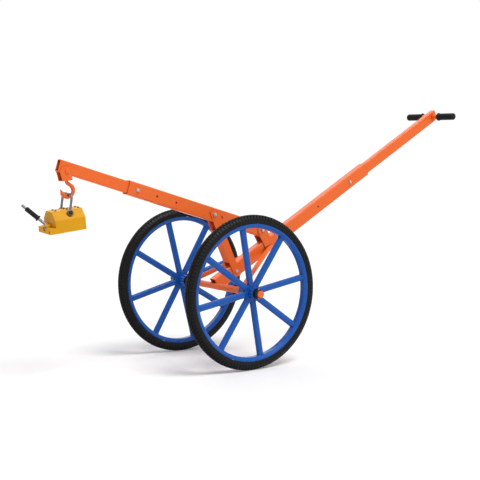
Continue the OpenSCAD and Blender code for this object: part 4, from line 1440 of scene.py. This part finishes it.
@dataclass
class LiftingMagnet:
    """Cast magnet with its screws and the pins that carry the shackle."""

    screw_r: float = 0.004
    screw_h: float = 0.004
    screw_depth: float = 0.010
    screw_x: float = 0.050
    screw_y: float = 0.027
    socket_share: float = 0.55
    socket_depth: float = 0.0022
    screw_edge: float = 0.0007
    front_depth: float = 0.009
    front_sink: float = 0.0015
    front_edge: float = 0.009
    pin_r: float = 0.005
    pin_head_r: float = 0.0085
    pin_head_t: float = 0.005
    pin_root: float = 0.0222
    eye_out: float = 0.0445
    shank_share: float = 0.5
    hex_share: float = 0.87
    round_from: float = 1.01
    screw_steps: int = 36
    pin_steps: int = 40
    cast_ease: float = 0.0012

    def build(self) -> None:
        """Builds the fastenings and dresses the castings."""
        dress(("magnet_base", "magnet_housing", "magnet_front_cover", "magnet_rear_cover"),
              YELLOW, self.cast_ease)
        self.roof_screws()
        self.front_screws()
        self.pins()

    def socket_outline(self, radius: float, angle: float) -> float:
        """Radius of a screw's round, or of its socket's hexagon.

        Args:
            radius: Radius of the round.
            angle: Angle round the screw in radians.

        Returns:
            The radius at that angle.
        """
        if radius > self.screw_r * self.socket_share * self.round_from:
            return radius
        off_flat = (angle + HEX_STEP / 2.0) % HEX_STEP - HEX_STEP / 2.0
        return radius * self.hex_share / math.cos(off_flat)

    def screw_top(self, high: float) -> List[Tuple[float, float]]:
        """Profile of a screw's rim and socket below a height."""
        socket = self.screw_r * self.socket_share
        floor = high - self.socket_depth
        return [(self.screw_r, high - self.screw_edge), (self.screw_r - self.screw_edge, high),
                (socket, high), (socket, floor), (0.0, floor)]

    def roof_screws(self) -> None:
        """Builds the cap screws in the housing's top, each with a hexagon socket."""
        shaper = Shaper()
        shank, foot = self.screw_r * self.shank_share, -self.screw_depth
        profile = [(0.0, foot), (shank, foot), (shank, 0.0), (self.screw_r, 0.0)]
        profile += self.screw_top(self.screw_h)
        for i in (-1, 0, 1):
            for j in (-1, 1):
                spot = Vector((i * self.screw_x, j * self.screw_y / 2.0, AT.mag_h - AT.lug_up))
                place = AT.load_frame @ Matrix.Translation(spot)
                shaper.revolve(profile, place, self.screw_steps, False, self.socket_outline)
        shaper.piece("roof_cap_screws", Body.MAGNET, BLACKED, ("magnet_roof_screws",))

    def front_screws(self) -> None:
        """Builds the sunk screws in the base's front, each with a hexagon socket."""
        shaper = Shaper()
        profile = [(0.0, -self.front_depth), (self.screw_r, -self.front_depth)]
        profile += self.screw_top(-self.front_sink)
        front = AT.house_len / 2.0 - AT.lug_back - AT.base_len
        aside, up = AT.mag_w / 2.0 - self.front_edge, self.front_edge - AT.lug_up
        for sign in (-1, 1):
            spot = Vector((front, sign * aside, up))
            place = AT.load_frame @ Matrix.Translation(spot) @ SPIN_TO_FRONT
            shaper.revolve(profile, place, self.screw_steps, False, self.socket_outline)
        shaper.piece("base_cap_screws", Body.MAGNET, BLACKED, ("base_screws",))

    def pins(self) -> None:
        """Builds the shackle's pins with domed heads."""
        shaper = Shaper()
        seat = self.eye_out + AT.gap
        rim, tall = self.pin_head_r, self.pin_head_t
        profile = [(0.0, self.pin_root), (self.pin_r, self.pin_root), (self.pin_r, seat),
                   (rim, seat)]
        profile += [(rim * wide, seat + tall * high) for wide, high in LUG_DOME]
        for turn in (0.0, math.pi):
            place = AT.load_frame @ SPIN_TO_Y @ Matrix.Rotation(turn, 4, "X")
            shaper.revolve(profile, place, self.pin_steps)
        shaper.piece("shackle_dome_pins", Body.MAGNET, BLACKED, ("shackle_pins",))


@dataclass
class Lever:
    """Lever that switches the magnet, with a ribbed grip."""

    hub_len: float = 0.022
    bolt_h: float = 0.004
    bolt_af: float = 0.0085
    thread_r: float = 0.003
    thread_len: float = 0.015
    grip_at: float = 0.051
    grip_len: float = 0.065
    grip_r: float = 0.010
    flange_r: float = 0.013
    flange_t: float = 0.005
    rod_r: float = 0.006
    root: float = 0.007
    rib_pitch: float = 0.006
    bolt_steps: int = 24
    grip_steps: int = 48
    hub_ease: float = 0.0010
    rod_ease: float = 0.0012
    rotor_ease: float = 0.0005

    @property
    def hub_front(self) -> Matrix:
        """Frame on the rotor's axis at the lever hub's front."""
        face = -AT.house_len / 2.0 - AT.lug_back - AT.gap
        spot = Vector((face - self.hub_len, 0.0, AT.rotor_up - AT.lug_up))
        return AT.load_frame @ Matrix.Translation(spot)

    @property
    def arm(self) -> Matrix:
        """Frame on the rotor's axis with Z along the lever."""
        middle = self.hub_front @ Matrix.Translation((self.hub_len - self.root, 0.0, 0.0))
        turn = Matrix.Rotation(math.radians(AT.lever_angle - 90.0), 4, "X")
        return middle @ turn @ Matrix.Rotation(-math.radians(AT.lever_lean), 4, "Y")

    def build(self) -> None:
        """Builds bolt and grip and dresses the rest."""
        dress(("lever_hub",), YELLOW, self.hub_ease)
        dress(("lever_rod",), DULLED, self.rod_ease)
        dress(("magnet_rotor",), TURNED, self.rotor_ease)
        bolt = Shaper()
        front = self.hub_front @ SPIN_TO_FRONT
        bolt.hexagon(self.bolt_af, 0.0, self.bolt_h, front)
        end = -self.thread_len
        shank = [(0.0, end), (self.thread_r, end), (self.thread_r, 0.0), (0.0, 0.0)]
        bolt.revolve(shank, front, self.bolt_steps)
        bolt.piece("lever_hex_bolt", Body.LEVER, DULLED, ("lever_bolt",))
        grip = Shaper()
        profile = ribbed_grip(self.rod_r, self.grip_r, self.flange_r, self.flange_t, self.grip_at,
                              self.grip_len, self.rib_pitch, False)
        grip.revolve(profile, self.arm, self.grip_steps, True)
        grip.piece("lever_ribbed_grip", Body.LEVER, GRIP, ("lever_grip",))


GRIP_RIB = ((1.0, 0.0), (1.0, 0.5), (0.9, 0.62), (0.9, 0.88))
GRIP_END = ((1.0, 0.35), (0.94, 0.15), (0.8, 0.03), (0.7, 0.0))
GRIP_SHELF = 0.97
GRIP_EDGE = 0.3
GRIP_REST = 1.6


def ribbed_grip(bore: float, radius: float, flange: float, flange_t: float, start: float,
                length: float, pitch: float, capped: bool) -> List[Tuple[float, float]]:
    """Profile of a moulded grip with a flange and rings along its length.

    Args:
        bore: Radius of the rod inside.
        radius: Outer radius over the rings.
        flange: Radius of the flange at the start.
        flange_t: Thickness of the flange.
        start: Where the grip starts along its axis.
        length: Length of the grip.
        pitch: Distance between the rings.
        capped: Whether the far end is closed.

    Returns:
        Pairs of radius and height.
    """
    end = start + length
    edge = flange_t * GRIP_EDGE
    shelf = start + flange_t
    profile = [(bore, start), (flange - edge, start), (flange, start + edge),
               (flange, shelf - edge), (flange - edge, shelf), (radius * GRIP_SHELF, shelf + edge)]
    place = start + flange_t + pitch
    while place < end - pitch * GRIP_REST:
        profile += [(radius * wide, place + pitch * share) for wide, share in GRIP_RIB]
        place += pitch
    profile.append((radius, place))
    profile += [(radius * wide, end - radius * back) for wide, back in GRIP_END]
    profile += [(0.0, end)] if capped else [(bore, end)]
    return profile


@dataclass
class TeeHandle:
    """Handle's sliding tube with the T bar and its two grips."""

    tee_r: float = 0.0125
    tee_len: float = 0.302
    grip_r: float = 0.0165
    grip_len: float = 0.104
    grip_cap: float = 0.007
    flange_r: float = 0.0195
    flange_t: float = 0.005
    rib_pitch: float = 0.007
    grip_steps: int = 56
    bar_ease: float = 0.0005
    cap_ease: float = 0.0008

    def build(self) -> None:
        """Builds the grips and dresses the rest."""
        dress(("handle_inner_tube",), ORANGE)
        dress(("tee_bar",), ORANGE, self.bar_ease)
        dress(("handle_end_cap",), ORANGE, self.cap_ease)
        middle = AT.handle_frame @ Vector((AT.handle_end - AT.tee_back, 0.0, AT.handle_off))
        end = self.tee_len / 2.0
        start = end + self.grip_cap - self.grip_len
        profile = ribbed_grip(self.tee_r, self.grip_r, self.flange_r, self.flange_t, start,
                              self.grip_len, self.rib_pitch, True)
        bore = [(0.0, end), (self.tee_r, end), (self.tee_r, start)]
        for side in Side:
            turn = 0.0 if side is Side.FAR else math.pi
            shaper = Shaper()
            place = y_place(middle, -AT.handle_angle) @ Matrix.Rotation(turn, 4, "X")
            for line in (profile, bore):
                shaper.revolve(line, place, self.grip_steps)
            bmesh.ops.remove_doubles(shaper.bm, verts=shaper.bm.verts, dist=SEAM_GAP)
            shaper.piece(f"ribbed_grip_{side.word}", Body.HANDLE, GRIP, (f"grip_{side.word}",))


@dataclass(frozen=True)
class Lamp:
    """Soft lamp that lights the whole studio from one direction.

    Attributes:
        name: Name of the lamp.
        azimuth: Where it stands round the part, in degrees from +X towards +Y.
        height: Its angle over the floor in degrees.
        spread: Angle that it fills, in degrees.
        power: Light that it casts on a face turned to it.
    """

    name: str
    azimuth: float
    height: float
    spread: float
    power: float

    def hang(self) -> None:
        """Adds the lamp to the scene."""
        light = bpy.data.lights.new(self.name, "SUN")
        light.angle = math.radians(self.spread)
        light.energy = self.power
        lamp = bpy.data.objects.new(self.name, light)
        turn, lift = math.radians(self.azimuth), math.radians(self.height)
        flat = math.cos(lift)
        away = Vector((math.cos(turn) * flat, math.sin(turn) * flat, math.sin(lift)))
        lamp.location = LAMP_REACH * away
        lamp.rotation_euler = away.to_track_quat("Z", "Y").to_euler()
        bpy.context.scene.collection.objects.link(lamp)


@dataclass
class Studio:
    """Pale floor, soft lamps and the camera at the photo's place."""

    eye: Tuple[float, float, float] = (-2.7258, -3.9916, 0.9628)
    yaw: float = 35.66
    pitch: float = -5.08
    lens: float = 82.52
    sensor: float = 36.0
    reach: float = 200.0
    floor_half: float = 60.0
    floor_tone: float = 0.97
    floor_lift: float = 0.07
    floor_rough: float = 0.9
    patch_tone: float = 0.985
    patch_scale: float = 1.4
    sky: float = 0.32
    key: Lamp = Lamp("key_lamp", -80.0, 62.0, 30.0, 2.1)
    rim: Lamp = Lamp("rim_lamp", 75.0, 38.0, 60.0, 0.65)

    def build(self) -> None:
        """Sets floor, light, world and camera."""
        scene = bpy.context.scene
        scene.view_settings.view_transform = "Standard"
        self.floor()
        self.world(scene)
        for lamp in (self.key, self.rim):
            lamp.hang()
        camera = bpy.data.objects.new("camera", bpy.data.cameras.new("camera"))
        scene.collection.objects.link(camera)
        yaw, pitch = math.radians(self.yaw), math.radians(self.pitch)
        flat = math.cos(pitch)
        look = Vector((math.sin(yaw) * flat, math.cos(yaw) * flat, math.sin(pitch)))
        camera.location = self.eye
        camera.rotation_euler = look.to_track_quat("-Z", "Y").to_euler()
        camera.data.lens = self.lens
        camera.data.sensor_width = self.sensor
        camera.data.clip_end = self.reach
        scene.camera = camera

    def floor(self) -> None:
        """Lays the floor under the tyres."""
        half = self.floor_half
        mesh = bpy.data.meshes.new("floor")
        corners = [(x * half, y * half, 0.0) for x, y in ((-1, -1), (1, -1), (1, 1), (-1, 1))]
        mesh.from_pydata(corners, [], [(0, 1, 2, 3)])
        material = bpy.data.materials.new("pale_floor")
        material.use_nodes = True
        graph = Graph(material.node_tree)
        shader = material.node_tree.nodes["Principled BSDF"]
        where = graph.add("TexCoord").outputs["Object"]
        cloud = graph.add("TexNoise", None, Vector=where, Scale=self.patch_scale, Detail=2.0)
        pale, patch = (self.floor_tone,) * 3, (self.floor_tone * self.patch_tone,) * 3
        tone = graph.mix(cloud.outputs[0], pale, patch)
        graph.tree.links.new(tone, shader.inputs["Base Color"])
        shader.inputs["Roughness"].default_value = self.floor_rough
        seen = graph.add("LightPath").outputs["Is Camera Ray"]
        shader.inputs["Emission Color"].default_value = (1.0, 1.0, 1.0, 1.0)
        lift = graph.math("MULTIPLY", seen, self.floor_lift)
        graph.tree.links.new(lift, shader.inputs["Emission Strength"])
        mesh.materials.append(material)
        floor = bpy.data.objects.new("floor", mesh)
        bpy.context.scene.collection.objects.link(floor)

    def world(self, scene: bpy.types.Scene) -> None:
        """Lights the scene from a soft sky that the camera and reflections see as white.

        Args:
            scene: Scene that gets the world.
        """
        world = bpy.data.worlds.new("pale_sky")
        world.use_nodes = True
        graph = Graph(world.node_tree)
        back = world.node_tree.nodes["Background"]
        path = graph.add("LightPath").outputs
        mirrored = graph.math("MAXIMUM", path["Is Glossy Ray"], path["Is Transmission Ray"])
        seen = graph.math("MAXIMUM", path["Is Camera Ray"], mirrored)
        strength = graph.spread(seen, 0.0, 1.0, self.sky, 1.0)
        back.inputs["Color"].default_value = (1.0, 1.0, 1.0, 1.0)
        graph.tree.links.new(strength, back.inputs["Strength"])
        scene.world = world


SPOKE_PHASES = ((Side.NEAR, 9.7), (Side.FAR, 14.2))


def main() -> None:
    """Builds the studio and each sub-assembly in order."""
    logging.basicConfig(level=logging.INFO, format="%(name)s: %(message)s")
    Studio().build()
    wheels = [Wheel(side, phase) for side, phase in SPOKE_PHASES]
    for part in (*wheels, Axle(), FrameTubes(), BoomTip(), LiftingMagnet(), Lever(), TeeHandle()):
        part.build()


if __name__ == "__main__":
    main()
